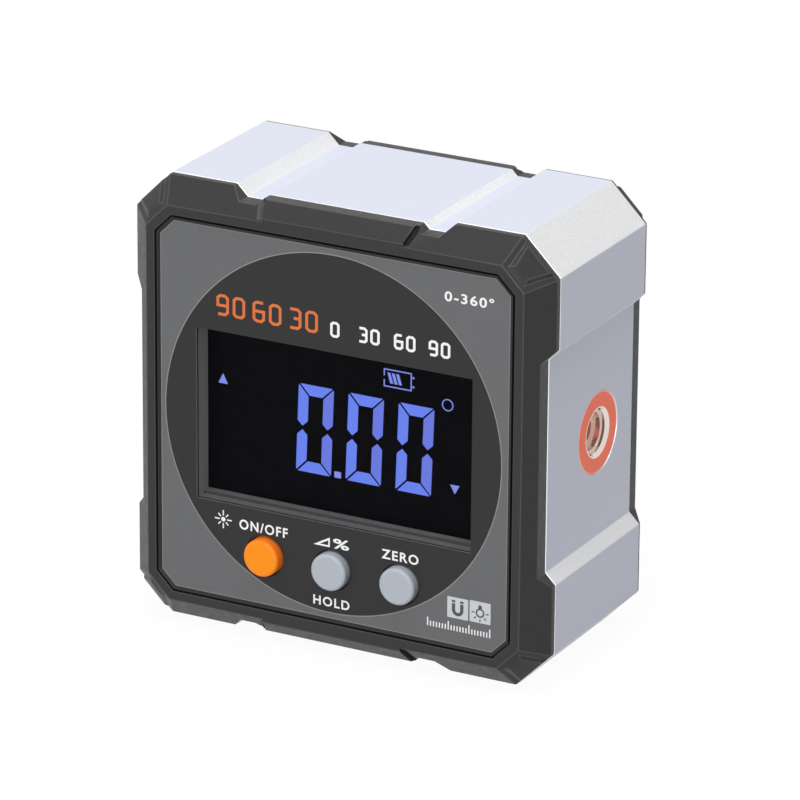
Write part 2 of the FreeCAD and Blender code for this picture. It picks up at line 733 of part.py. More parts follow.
def switch_body(x):
    """Switch with a hole for its plunger and four feet on the board."""
    half = SWITCH_SIDE / 2
    body = box(x - half, x + half, SWITCH_FRONT, BOARD_FRONT, BUTTON_Z - half, BUTTON_Z + half)
    feet = []
    for side, end in corner_places(FOOT_REACH - FOOT_LENGTH / 2, FOOT_PITCH / 2):
        feet.append(box(
            x + side - FOOT_LENGTH / 2, x + side + FOOT_LENGTH / 2,
            BOARD_FRONT - FOOT_THICK, BOARD_FRONT,
            BUTTON_Z + end - FOOT_WIDTH / 2, BUTTON_Z + end + FOOT_WIDTH / 2,
        ))
    hole_end = SWITCH_FRONT + PLUNGER_HOLE
    hole = rod_y(x, BUTTON_Z, PLUNGER_RADIUS + PLUNGER_GAP, SWITCH_FRONT, hole_end)
    return less(joined(body, feet), [hole])


# Circuit board

def circuit_board():
    """Board with cut corners, drilled for its four screws."""
    board = prism(octagon(BOARD_HALF, BOARD_LEG), BOARD_FRONT, BOARD_BACK)
    holes = [
        rod_y(x, z, BOARD_SCREW_RADIUS + FIT, BOARD_FRONT, BOARD_BACK)
        for x, z in corner_places(POST_X, POST_Z)
    ]
    return less(board, holes)


def on_board(x, z, width, height, thick):
    """A flat component on the rear of the board."""
    return box(
        x - width / 2, x + width / 2, BOARD_BACK, BOARD_BACK + thick,
        z - height / 2, z + height / 2,
    )


def small_components():
    """Regulator, crystal, coil and a row of chip capacitors."""
    parts = [on_board(*place) for place in (REGULATOR, CRYSTAL, COIL)]
    for i in range(CAPACITORS):
        parts.append(on_board(CAPACITOR_FIRST + CAPACITOR_PITCH * i, CAPACITOR_Z, *CAPACITOR))
    return parts


# Screws

def screw(place, direction, head_radius, head, radius, length):
    """A pan head screw with a cross recess; the shank points along the direction."""
    shank = Part.makeCylinder(radius, length, place, direction)
    top = Part.makeCylinder(head_radius, head, place, -direction)
    long = CROSS_LENGTH * head_radius
    wide = CROSS_WIDTH * head_radius
    sideways = V(1, 0, 0) if abs(direction.x) < 0.5 else V(0, 1, 0)
    cross = []
    for arm in (sideways, direction.cross(sideways)):
        blade = Part.makeBox(long, wide, head, V(-long / 2, -wide / 2, -head / 2))
        turn = FreeCAD.Rotation(arm, V(0, 0, 0), direction, "XZY")
        blade.Placement = FreeCAD.Placement(place - direction * head, turn)
        cross.append(blade)
    return less(joined(top, [shank]), cross)


def case_screws():
    screws = []
    for x, z in corner_places(BOSS_OFFSET, BOSS_OFFSET):
        seat = V(x, SCREW_SEAT, z)
        screws.append(screw(
            seat, V(0, -1, 0), SCREW_HEAD_RADIUS, SCREW_HEAD, SCREW_RADIUS, SCREW_LENGTH,
        ))
    return screws


def board_screws():
    screws = []
    for x, z in corner_places(POST_X, POST_Z):
        seat = V(x, BOARD_BACK, z)
        screws.append(screw(
            seat, V(0, -1, 0), SMALL_HEAD_RADIUS, SMALL_HEAD, BOARD_SCREW_RADIUS, BOARD_SCREW_LENGTH,
        ))
    return screws


def clamp_screw_places():
    """Heights of the two screws of each laser clamp."""
    return (LASER_Z - CLAMP_SCREW_OFFSET, LASER_Z + CLAMP_SCREW_OFFSET)


def clamp_screws():
    radius = CLAMP_SCREW_RADIUS - THREAD_GAP
    length = CAVITY_HALF + CLAMP_SCREW_BITE - CLAMP_FRONT
    screws = []
    for side in SIGNS:
        for z in clamp_screw_places():
            seat = V(side * CLAMP_FRONT, LASER_Y, z)
            screws.append(screw(
                seat, V(side, 0, 0), SMALL_HEAD_RADIUS, SMALL_HEAD, radius, length,
            ))
    return screws


# Laser in the right side; the left one is its mirror image

def port_ring():
    """Coloured ring round the laser port."""
    ring = rod_x(LASER_Y, LASER_Z, RING_OUTER, RING_SEAT, RING_SEAT + RING_THICK)
    return ring.cut(rod_x(LASER_Y, LASER_Z, RING_INNER, RING_SEAT, RING_SEAT + RING_THICK))


def port_bush():
    """Plated bush with a chamfered mouth, a shoulder and a flange behind the wall."""
    mouth = SIDE_FLOOR - RING_SINK
    flange_back = CAVITY_HALF - BUSH_FLANGE
    neck = rod_x(LASER_Y, LASER_Z, RING_INNER - THREAD_GAP, RING_SEAT, mouth)
    body = rod_x(LASER_Y, LASER_Z, BUSH_RADIUS, CAVITY_HALF - FIT, RING_SEAT)
    flange = rod_x(LASER_Y, LASER_Z, BUSH_FLANGE_RADIUS, flange_back, CAVITY_HALF)
    start = V(mouth - BUSH_CHAMFER, LASER_Y, LASER_Z)
    return less(joined(body, [neck, flange]), [
        Part.makeCone(BUSH_BORE, BUSH_MOUTH, BUSH_CHAMFER, start, V(1, 0, 0)),
        rod_x(LASER_Y, LASER_Z, BUSH_BORE, BARREL_FRONT + BUSH_STEP, mouth),
        rod_x(LASER_Y, LASER_Z, BUSH_SHOULDER, BARREL_FRONT, mouth),
        rod_x(LASER_Y, LASER_Z, BARREL_RADIUS + THREAD_GAP, flange_back, BARREL_FRONT),
    ])


def laser_barrel():
    """Brass barrel, bored in steps for the lens, the beam and the diode."""
    barrel = rod_x(LASER_Y, LASER_Z, BARREL_RADIUS, BARREL_BACK, BARREL_FRONT)
    diode_end = BARREL_BACK + DIODE_LENGTH
    return less(barrel, [
        rod_x(LASER_Y, LASER_Z, LENS_RADIUS + THREAD_GAP, LENS_BACK, BARREL_FRONT),
        rod_x(LASER_Y, LASER_Z, LENS_RADIUS - LENS_LEDGE, BARREL_BACK, BARREL_FRONT),
        rod_x(LASER_Y, LASER_Z, DIODE_RADIUS + THREAD_GAP, BARREL_BACK, diode_end),
    ])


def laser_lens():
    """Collimating lens, flat at the back and domed at the front."""
    disc = rod_x(LASER_Y, LASER_Z, LENS_RADIUS, LENS_BACK, LENS_BACK + LENS_THICK)
    centre = V(LENS_BACK + LENS_THICK - LENS_DOME, LASER_Y, LASER_Z)
    return disc.common(Part.makeSphere(LENS_DOME, centre))


def laser_diode():
    """Metal can with a stepped base."""
    step = BARREL_BACK + DIODE_BASE
    base = rod_x(LASER_Y, LASER_Z, DIODE_RADIUS, BARREL_BACK, step)
    can = rod_x(LASER_Y, LASER_Z, DIODE_CAN_RADIUS, step, BARREL_BACK + DIODE_LENGTH)
    return joined(base, [can])


def laser_driver():
    """Small board behind the diode."""
    half = DRIVER_THICK / 2
    return box(
        DRIVER_END, BARREL_BACK, LASER_Y - half, LASER_Y + half,
        LASER_Z - DRIVER_HALF, LASER_Z + DRIVER_HALF,
    )


def laser_clamp():
    """Block that holds the barrel and presses the bush against the wall."""
    block = box(
        CLAMP_FRONT, CAVITY_HALF, LASER_Y - CLAMP_LOW, LASER_Y + CLAMP_HIGH,
        LASER_Z - CLAMP_HALF_Z, LASER_Z + CLAMP_HALF_Z,
    )
    flange_room = BUSH_FLANGE_RADIUS + FIT
    cutters = [
        rod_x(LASER_Y, LASER_Z, BARREL_RADIUS + THREAD_GAP, CLAMP_FRONT, CAVITY_HALF),
        rod_x(LASER_Y, LASER_Z, flange_room, CAVITY_HALF - BUSH_FLANGE, CAVITY_HALF),
    ]
    for z in clamp_screw_places():
        cutters.append(rod_x(LASER_Y, z, CLAMP_SCREW_RADIUS + FIT, CLAMP_FRONT, CAVITY_HALF))
    return less(block, cutters)


def laser_leads():
    """Two short leads from the driver board to the circuit board."""
    return [
        rod_y(
            DRIVER_END + LEAD_INSET, LASER_Z + offset, LEAD_RADIUS,
            BOARD_BACK, LASER_Y - DRIVER_THICK / 2,
        )
        for offset in (-LEAD_OFFSET, LEAD_OFFSET)
    ]


# Cells and contacts

def cell(side):
    """An AAA cell; the left one has its nub at the top, the right one at the bottom."""
    up = -side
    x = side * CELL_X
    flat_end = -up * CELL_LENGTH / 2
    nub_start = up * (CELL_LENGTH / 2 - NUB_LENGTH)
    body = rod_z(x, CELL_Y, CELL_RADIUS, flat_end, nub_start)
    return joined(body, [rod_z(x, CELL_Y, NUB_RADIUS, nub_start, up * CELL_LENGTH / 2)])


def contact_bow(x, end):
    """A bowed spring strip between the well's end wall and the end of a cell."""
    wall = end * WELL_HALF_Z
    plate = end * (WELL_HALF_Z - CONTACT_THICK)
    tip = end * CELL_LENGTH / 2
    inner_tip = tip + end * CONTACT_THICK
    low, high = CELL_Y - CONTACT_SPAN, CELL_Y + CONTACT_SPAN
    foot = CONTACT_REST - CONTACT_THICK
    inner_half = CONTACT_TIP - CONTACT_THICK / 2
    outline = [
        (low, wall), (low, plate), (low + foot, plate), (CELL_Y - CONTACT_TIP, tip),
        (CELL_Y + CONTACT_TIP, tip), (high - foot, plate), (high, plate), (high, wall),
        (high - CONTACT_REST, wall), (CELL_Y + inner_half, inner_tip),
        (CELL_Y - inner_half, inner_tip), (low + CONTACT_REST, wall),
    ]
    return strip_x(outline, x - CONTACT_HALF, x + CONTACT_HALF)


def upper_contact(side):
    """Contact at the upper end of one cell, with a leg down to the board."""
    x = side * CELL_X
    top = CELL_Y - CONTACT_SPAN + CONTACT_REST / 2
    leg = box(
        x - CONTACT_LEG_HALF, x + CONTACT_LEG_HALF, BOARD_BACK, top,
        WELL_HALF_Z - CONTACT_THICK, WELL_HALF_Z,
    )
    return joined(contact_bow(x, 1), [leg])


def lower_contact():
    """Plate that joins the lower ends of both cells."""
    low = CELL_Y - CONTACT_SPAN
    bridge = box(
        -CELL_X, CELL_X, low, low + CONTACT_BRIDGE,
        -WELL_HALF_Z, -WELL_HALF_Z + CONTACT_THICK,
    )
    return joined(bridge, [contact_bow(side * CELL_X, -1) for side in SIGNS])


# Export

def pieces():
    """Every node with its solid or solids."""
    power, hold, zero = button_places()
    nodes = {
        "aluminium_frame": aluminium_frame(),
        "front_bezel": front_bezel(),
        "rear_cover": rear_cover(),
        "battery_door": battery_door(),
        "face_panel": face_panel(),
        "display_window": display_window(),
        "display_holder": display_holder(),
        "display_glass": display_glass(),
        "backlight": backlight(),
        "contact_strips": contact_strips(),
        "power_button": button_cap(power),
        "hold_button": button_cap(hold),
        "zero_button": button_cap(zero),
        "power_plunger": switch_plunger(power),
        "hold_plunger": switch_plunger(hold),
        "zero_plunger": switch_plunger(zero),
        "switch_bodies": [switch_body(x) for x in button_places()],
        "circuit_board": circuit_board(),
        "processor_chip": on_board(*PROCESSOR),
        "tilt_sensor": on_board(*TILT_SENSOR),
        "small_components": small_components(),
        "board_screws": board_screws(),
        "case_screws": case_screws(),
        "clamp_screws": clamp_screws(),
        "magnets": magnets(),
        "cell_left": cell(-1),
        "cell_right": cell(1),
        "contact_upper_left": upper_contact(-1),
        "contact_upper_right": upper_contact(1),
        "contact_lower": lower_contact(),
    }
    for name, shape in (
        ("port_ring", port_ring()),
        ("port_bush", port_bush()),
        ("laser_barrel", laser_barrel()),
        ("laser_lens", laser_lens()),
        ("laser_diode", laser_diode()),
        ("laser_driver", laser_driver()),
        ("laser_clamp", laser_clamp()),
    ):
        nodes[name + "_right"] = shape
        nodes[name + "_left"] = mirrored(shape)
    nodes["laser_leads_right"] = laser_leads()
    nodes["laser_leads_left"] = [mirrored(lead) for lead in laser_leads()]
    return nodes


def export_piece(name, shape):
    """Move a piece so that the origin is on the base, and save it."""
    if isinstance(shape, list):
        shape = Part.makeCompound(shape)
    placed = shape.translated(V(0, -MIDDLE_DEPTH, HALF))
    placed.exportStep("parts/" + name + ".step")
    return placed


def main():
    os.makedirs("parts", exist_ok=True)
    overall = FreeCAD.BoundBox()
    for name, shape in pieces().items():
        saved = export_piece(name, shape)
        overall.add(saved.optimalBoundingBox(False, False))
        print(f"{name}: solids {len(saved.Solids)}, volume {saved.Volume:.1f}, valid {saved.isValid()}")
    print(f"overall {overall.XLength:.2f} x {overall.YLength:.2f} x {overall.ZLength:.2f}")


main()
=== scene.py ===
"""Looks of the digital angle gauge: finishes, printed face, lit display, light and camera.

Places on the face are given in millimetres from the middle of the gauge, as x to the right and z up.
A box on the face is given as x0, x1, z0, z1.
"""
import json
import math

import bmesh
import bpy
from mathutils import Matrix, Vector
from mathutils.geometry import tessellate_polygon

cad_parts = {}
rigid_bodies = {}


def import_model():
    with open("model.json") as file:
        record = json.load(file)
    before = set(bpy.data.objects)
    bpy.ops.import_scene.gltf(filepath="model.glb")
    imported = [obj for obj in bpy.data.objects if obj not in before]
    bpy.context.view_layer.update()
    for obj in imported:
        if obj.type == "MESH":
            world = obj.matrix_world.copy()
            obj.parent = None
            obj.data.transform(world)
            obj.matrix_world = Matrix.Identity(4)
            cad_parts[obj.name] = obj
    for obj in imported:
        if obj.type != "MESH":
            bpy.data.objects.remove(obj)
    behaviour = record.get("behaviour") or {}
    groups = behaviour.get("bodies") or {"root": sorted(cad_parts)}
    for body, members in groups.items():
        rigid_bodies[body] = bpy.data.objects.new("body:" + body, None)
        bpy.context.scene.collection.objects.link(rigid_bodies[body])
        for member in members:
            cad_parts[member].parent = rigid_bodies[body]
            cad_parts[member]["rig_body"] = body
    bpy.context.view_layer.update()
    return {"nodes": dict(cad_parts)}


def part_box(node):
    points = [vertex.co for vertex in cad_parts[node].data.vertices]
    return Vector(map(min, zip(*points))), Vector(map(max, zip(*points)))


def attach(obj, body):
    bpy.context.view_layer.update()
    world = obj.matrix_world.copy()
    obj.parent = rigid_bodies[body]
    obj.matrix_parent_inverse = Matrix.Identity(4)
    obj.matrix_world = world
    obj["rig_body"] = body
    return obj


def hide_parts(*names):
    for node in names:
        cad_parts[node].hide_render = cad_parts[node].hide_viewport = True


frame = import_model()

MM = 0.001

# Planes and middles that the art is laid on, from the frame
PANEL_DISH = 0.3                # the panel's flat face lies this far behind its raised edge
PANEL_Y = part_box("face_panel")[0].y / MM + PANEL_DISH
DISPLAY_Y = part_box("display_glass")[0].y / MM
MIDDLE_Z = sum(corner.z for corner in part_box("aluminium_frame")) / 2 / MM
INK = 0.02                      # thickness of the print
LIT = 0.04                      # thickness of the lit marks of the display

# Rounding of the outer edges
WELD = 1e-6                     # in metres
FLAT = math.radians(0.5)        # faces that meet at less than this become one
CREASE = math.radians(20)       # edges sharper than this are rounded
SHARP = math.radians(40)        # edges sharper than this stay sharp in the shading
SHORTEST = 0.75                 # a shorter edge is part of a circle
OUTSIDE = 31.0                  # sideways or up, an edge beyond this is on the outside
REAR_DEPTH = 2.0                # so is one less than this in front of the rear face
PANEL_RIM = 27.0                # beyond this an edge of the panel is on its rim
PORT_DEPTH = 33.2               # the round edges of the laser ports lie beyond this along X
PORT_HALF = 7.0                 # and above or below the middle by less than this
METAL_ROUND = 0.16              # width of the rounding: the aluminium frame
COVER_ROUND = 0.12              # bezel and rear cover
DOOR_ROUND = 0.1
PANEL_ROUND = 0.04

# Flat face of the panel: half width, the sum of x and z at its cut corners, and the painted highlight
# round it
FACE_HALF = 29.05
FACE_CORNER = 55.74
FACE_HIGHLIGHT = 0.15

# Printed disc behind the display, and the line round it
DISC_X = -0.16
DISC_Z = -0.03
DISC_RADIUS = 28.2
DISC_LINE = 0.16

# Half size of the window and its walls, and the height of its middle
WINDOW_HALF_X = 23.2
WINDOW_HALF_Z = 13.7
WINDOW_Z = -0.57

# Painted highlights round a laser port's ring and its lens
RING_HIGHLIGHT = 0.16
LENS_HIGHLIGHT = 1.75                 # inner radius

# Heights from the middle at which the cells' bands and bare ends begin
CELL_BAND = 13.5
CELL_END = 20.9

# Boxes of the lettering and signs
POWER_LABEL = (-15.71, -7.48, -17.73, -16.13)
SLOPE_MARK = (-3.1, -0.35, -17.7, -16.15)
PERCENT_LABEL = (0.2, 2.9, -17.73, -16.13)
ZERO_LABEL = (8.34, 14.49, -17.73, -16.18)
HOLD_LABEL = (-3.11, 3.01, -27.23, -25.73)
RANGE_LABEL = (18.34, 26.39, 24.27, 25.87)
MAGNET_SIGN = (19.34, 22.79, -24.83, -21.53)
LAMP_SIGN = (23.04, 26.49, -24.78, -21.43)
SIGN_CORNER = 0.15

# Lettering: Blender's own units for the size before it is fitted to its box
LETTER_SIZE = 2.0
LETTER_WEIGHT = 0.045
LETTER_SPACING = 1.2

# Sun by the power button: place, disc, inner end of the rays, outer ends of the long and short rays
LAMP_MARK = (-18.46, -16.73)
LAMP_DISC = 0.36
LAMP_RAYS = 0.62
LAMP_LONG = 1.45
LAMP_SHORT = 1.2
LAMP_LINE = 0.2

# Degree scale: each number and its middle, then base, width, height, gap and line of its figures
LEFT_NUMBERS = (("90", -17.1), ("60", -11.0), ("30", -4.9))
LEFT_FIGURES = (15.72, 1.65, 2.9, 1.1, 0.46)
RIGHT_NUMBERS = (("0", 0.35), ("30", 6.0), ("60", 11.9), ("90", 17.6))
RIGHT_FIGURES = (15.6, 1.15, 2.05, 0.85, 0.4)

# Row of ticks below the signs
TICKS = 22
TICK_X = 16.1
TICK_Z = -26.85
TICK_PITCH = 0.49
TICK_LINE = 0.2
TICK_SHORT = 0.8
TICK_LONG = 1.35
LONG_EVERY = 7

# Digits of the display
DIGIT_WIDTH = 5.9
DIGIT_HEIGHT = 13.85
DIGIT_LEAN = 0.47
DIGIT_BASE = -8.05
DIGIT_LEFT = (-8.05, 0.31, 8.67)
SEGMENT = 1.7
SEGMENT_GAP = 0.2
SEGMENT_CUT = 0.1               # blunt outer corner of a segment
SEGMENT_TIP = 0.29              # the upright segments' points stop short of the middle by this
SEGMENT_SHOULDER = 1.1          # and their slopes begin this far from it

# Other lit marks of the display
POINT = (-1.56, -0.45, -8.02, -7.05)
RISING = [(-20.45, 4.98), (-21.25, 3.4), (-19.65, 3.4)]
FALLING = [(17.75, -5.5), (19.3, -5.5), (18.54, -6.9)]
DEGREE = (17.2, 6.8)
DEGREE_OUTER = 0.94
DEGREE_INNER = 0.78
BATTERY = (6.6, 11.25, 7.85, 10.67)
BATTERY_LINE = 0.18
BATTERY_GAP = 0.6               # opening in the left wall
BATTERY_BARS = 3

# Camera, turned round a point near the middle of the gauge
IMAGE_SIDE = 800
SENSOR = 36.0
AZIMUTH = 27.9034
ELEVATION = 20.4833
ROLL = 0.466072
DISTANCE = 916.0463
FOCAL_PIXELS = 6126.3427
TARGET_Y = 1.825
SHIFT_RIGHT = 0.926657
SHIFT_UP = -0.586025

# Light, in metres and watts
WORLD_LIGHT = 0.6
SIDE_SHARE = 0.15               # share of the world's light that is left at the two sides
LAMP_TARGET = (0, 0, 0.03)
LAMP_SIZE = 0.7
TOP_LAMP = (0.05, -0.1, 1.1)
TOP_POWER = 5.0
FRONT_LAMP = (0.05, -1.2, 0.3)
FRONT_POWER = 6.8
FLOOR_RADIUS = 6.0
FLOOR_WHITE = 0.82              # share of white in the floor as it is seen
FLOOR_STRENGTH = 1.15


# Mesh tools

def keep(piece, body):
    """Let a piece ride on a body."""
    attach(piece, body)
    return piece


def mesh_piece(name, mesh, material):
    mesh.name = name
    mesh.materials.clear()
    mesh.materials.append(material)
    piece = bpy.data.objects.new(name, mesh)
    bpy.context.scene.collection.objects.link(piece)
    return piece


def add_plate(work, outlines, y, thick):
    """Add a plate that lies on the plane at depth y; outlines after the first are its holes."""
    rings = [
        [
            [work.verts.new((x * MM, depth * MM, (MIDDLE_Z + z) * MM)) for x, z in outline]
            for outline in outlines
        ]
        for depth in (y - thick, y)
    ]
    flat = [[Vector((x, z, 0)) for x, z in outline] for outline in outlines]
    for ring in rings:
        corners = [vert for loop in ring for vert in loop]
        for triangle in tessellate_polygon(flat):
            work.faces.new([corners[i] for i in triangle])
    for front, back in zip(*rings):
        for i, vert in enumerate(front):
            work.faces.new((front[i - 1], vert, back[i], back[i - 1]))


def art(name, groups, y, thick, material):
    """One piece of flat plates on the case; each group is an outline and its holes."""
    work = bmesh.new()
    for outlines in groups:
        add_plate(work, outlines, y, thick)
    bmesh.ops.recalc_face_normals(work, faces=work.faces)
    mesh = bpy.data.meshes.new(name)
    work.to_mesh(mesh)
    work.free()
    return keep(mesh_piece(name, mesh, material), "case")


def printed(name, groups, material, layer=0):
    """Print on the panel; layer 1 lies on top of layer 0."""
    return art(name, groups, PANEL_Y - layer * INK, INK, material)


def label(name, text, limits, material):
    """Letters on the panel that just fill a box."""
    curve = bpy.data.curves.new("text", "FONT")
    curve.body = text
    curve.size = LETTER_SIZE
    curve.offset = LETTER_WEIGHT
    curve.space_character = LETTER_SPACING
    curve.extrude = INK / 2
    curve.resolution_u = 6
    writing = bpy.data.objects.new("text", curve)
    mesh = bpy.data.meshes.new_from_object(writing)
    bpy.data.objects.remove(writing)
    xs = [v.co.x for v in mesh.vertices]
    ys = [v.co.y for v in mesh.vertices]
    x0, x1, z0, z1 = limits
    across = (x1 - x0) / (max(xs) - min(xs))
    up = (z1 - z0) / (max(ys) - min(ys))
    for v in mesh.vertices:
        x, z, out = v.co
        v.co.x = (x0 + (x - min(xs)) * across) * MM
        v.co.y = (PANEL_Y - INK / 2 - out) * MM
        v.co.z = (MIDDLE_Z + z0 + (z - min(ys)) * up) * MM
    return keep(mesh_piece(name, mesh, material), "case")


def circle(x, z, radius, steps=48):
    turns = [2 * math.pi * i / steps for i in range(steps)]
    return [(x + radius * math.cos(turn), z + radius * math.sin(turn)) for turn in turns]


def rectangle(x0, x1, z0, z1):
    return [(x0, z0), (x1, z0), (x1, z1), (x0, z1)]


def rounded_box(x0, x1, z0, z1, radius, steps=6):
    points = []
    corners = ((x1 - radius, z1 - radius), (x0 + radius, z1 - radius),
               (x0 + radius, z0 + radius), (x1 - radius, z0 + radius))
    for quarter, (x, z) in enumerate(corners):
        for i in range(steps + 1):
            turn = math.pi / 2 * (quarter + i / steps)
            points.append((x + radius * math.cos(turn), z + radius * math.sin(turn)))
    return points


def ribbon(points, width, closed=False):
    """Outlines of a bent line of even width: the outer and inner ring if it is closed, or just one."""
    spots = [Vector(point) for point in points]
    ends = spots + spots[:1] if closed else spots
    steps = [(b - a).normalized() for a, b in zip(ends, ends[1:])]
    sides = ([], [])
    for i, spot in enumerate(spots):
        before = steps[i - 1] if closed or i else steps[0]
        after = steps[min(i, len(steps) - 1)]
        across = Vector((-before.y, before.x))
        middle = (across + Vector((-after.y, after.x))).normalized()
        reach = width / 2 / middle.dot(across)
        for side, sign in zip(sides, (1, -1)):
            side.append(tuple(spot + sign * reach * middle))
    if closed:
        return sorted(sides, key=area, reverse=True)
    return [sides[0] + sides[1][::-1]]


def area(outline):
    """Size of a closed outline, whichever way round it goes."""
    pairs = zip(outline, outline[1:] + outline[:1])
    return abs(sum(x0 * z1 - x1 * z0 for (x0, z0), (x1, z1) in pairs)) / 2


# Rounded edges

def softened(node, width, material, chosen):
    """A copy of a CAD node with rounded edges, which stands for the node; its new faces are marked."""
    work = bmesh.new()
    work.from_mesh(frame["nodes"][node].data)
    mark = work.faces.layers.float.new("rounded")
    bmesh.ops.remove_doubles(work, verts=work.verts, dist=WELD)
    bmesh.ops.dissolve_limit(work, angle_limit=FLAT, verts=work.verts, edges=work.edges)
    edges = [
        e for e in work.edges
        if len(e.link_faces) == 2 and e.calc_face_angle() > CREASE and chosen(e)
    ]
    rounded = bmesh.ops.bevel(
        work, geom=edges, offset=width * MM, segments=2, profile=0.5,
        affect="EDGES", clamp_overlap=False,
    )
    for face in rounded["faces"]:
        face[mark] = 1.0
    bmesh.ops.triangulate(work, faces=[f for f in work.faces if len(f.verts) > 4])
    for face in work.faces:
        face.smooth = True
    for e in work.edges:
        e.smooth = len(e.link_faces) == 2 and e.calc_face_angle() < SHARP
    mesh = bpy.data.meshes.new(node + "_finished")
    work.to_mesh(mesh)
    work.free()
    piece = mesh_piece(node + "_finished", mesh, material)
    normals = piece.modifiers.new("normals", "WEIGHTED_NORMAL")
    normals.keep_sharp = True
    keep(piece, frame["nodes"][node]["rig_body"])
    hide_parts(node)


def middle_of(edge):
    """Middle of an edge in metres, with z from the middle of the gauge."""
    x, y, z = (edge.verts[0].co + edge.verts[1].co) / 2
    return x, y, z - MIDDLE_Z * MM


def straight_edge(edge):
    """Whether an edge is long enough to be no part of a circle."""
    return edge.calc_length() > SHORTEST * MM


def outside_edge(edge):
    """Whether an edge is straight and lies near the outside of the gauge."""
    x, y, z = middle_of(edge)
    far = max(abs(x), abs(z)) > OUTSIDE * MM
    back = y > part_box("rear_cover")[1].y - REAR_DEPTH * MM
    return (far or back or y < PANEL_Y * MM) and straight_edge(edge)


def rim_edge(edge):
    """Whether an edge of the panel belongs to its rim."""
    x, _, z = middle_of(edge)
    return max(abs(x), abs(z)) > PANEL_RIM * MM


def frame_edge(edge):
    """Whether an edge of the aluminium shows, with the round edges of the laser ports."""
    x, _, z = middle_of(edge)
    in_port = abs(x) > PORT_DEPTH * MM and abs(z) < PORT_HALF * MM
    return in_port or outside_edge(edge)


# Material tools

def add(tree, kind, values=None, **settings):
    """A new node; values are its inputs by name, settings its own properties."""
    node = tree.nodes.new(kind)
    for key, value in settings.items():
        setattr(node, key, value)
    for key, value in (values or {}).items():
        node.inputs[key].default_value = value
    return node


def surface(name, colour, roughness, metallic=0.0, specular=0.5):
    material = bpy.data.materials.new(name)
    material.use_nodes = True
    shader = material.node_tree.nodes["Principled BSDF"]
    shader.inputs["Base Color"].default_value = (*colour, 1)
    shader.inputs["Roughness"].default_value = roughness
    shader.inputs["Metallic"].default_value = metallic
    shader.inputs["Specular IOR Level"].default_value = specular
    return material


def set_input(material, name, value):
    """Lead a socket to an input of a material's shader."""
    tree = material.node_tree
    tree.links.new(value, tree.nodes["Principled BSDF"].inputs[name])


def colour_so_far(material):
    """The socket that gives a material its colour."""
    shader = material.node_tree.nodes["Principled BSDF"]
    return shader.inputs["Base Color"].links[0].from_socket


def textured(tree, kind, values, mapping=None, **settings):
    """A texture in the piece's own coordinates, which the mapping turns or stretches first."""
    place = add(tree, "ShaderNodeTexCoord").outputs["Object"]
    if mapping:
        moved = add(tree, "ShaderNodeMapping", mapping)
        tree.links.new(place, moved.inputs["Vector"])
        place = moved.outputs["Vector"]
    texture = add(tree, kind, values, **settings)
    tree.links.new(place, texture.inputs["Vector"])
    return texture.outputs["Fac"]


def noise(tree, scale, detail=3.0, stretch=None):
    """Soft noise; scale is in features per metre."""
    values = {"Scale": scale, "Detail": detail}
    mapping = {"Scale": stretch} if stretch else None
    return textured(tree, "ShaderNodeTexNoise", values, mapping)


def spread(tree, value, low, high, start=0.3, end=0.7):
    """Map a range of a value, by default the middle of noise, onto another range."""
    node = add(tree, "ShaderNodeMapRange", {
        "From Min": start, "From Max": end, "To Min": low, "To Max": high,
    })
    tree.links.new(value, node.inputs["Value"])
    return node.outputs["Result"]


def calc(tree, operation, *values):
    """A sum on numbers or sockets."""
    node = add(tree, "ShaderNodeMath", operation=operation)
    for socket, value in zip(node.inputs, values):
        if isinstance(value, (int, float)):
            socket.default_value = value
        else:
            tree.links.new(value, socket)
    return node.outputs["Value"]


def distance(tree, first, second):
    """Length of a slanting line from its two legs."""
    squares = [calc(tree, "MULTIPLY", leg, leg) for leg in (first, second)]
    return calc(tree, "SQRT", calc(tree, "ADD", *squares))


def blend(tree, factor, first, second):
    """Mix two colours; each is a tuple or a socket."""
    node = add(tree, "ShaderNodeMix", data_type="RGBA")
    tree.links.new(factor, node.inputs["Factor"])
    for socket, value in ((node.inputs[6], first), (node.inputs[7], second)):
        if isinstance(value, tuple):
            socket.default_value = (*value, 1)
        else:
            tree.links.new(value, socket)
    return node.outputs[2]


def axes(tree, kind):
    """A texture coordinate as x, y and z sockets."""
    place = add(tree, "ShaderNodeTexCoord")
    parts = add(tree, "ShaderNodeSeparateXYZ")
    tree.links.new(place.outputs[kind], parts.inputs["Vector"])
    return [parts.outputs[axis] for axis in "XYZ"]


def place_on_face(tree):
    """Distances from the middle of the gauge in millimetres, as x and z sockets."""
    x, _, z = axes(tree, "Object")
    return calc(tree, "MULTIPLY", x, 1 / MM), calc(tree, "MULTIPLY_ADD", z, 1 / MM, -MIDDLE_Z)


def facing(tree):
    """How far the surface faces along each axis, without sign, as x, y and z sockets."""
    return [calc(tree, "ABSOLUTE", part) for part in axes(tree, "Normal")]


def from_axis(tree, node):
    """Distance in millimetres from the line along X through the middle of a node."""
    middle = sum(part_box(node), Vector()) / 2
    _, y, z = axes(tree, "Object")
    aside = calc(tree, "SUBTRACT", y, middle.y)
    up = calc(tree, "SUBTRACT", z, middle.z)
    return calc(tree, "MULTIPLY", distance(tree, aside, up), 1 / MM)


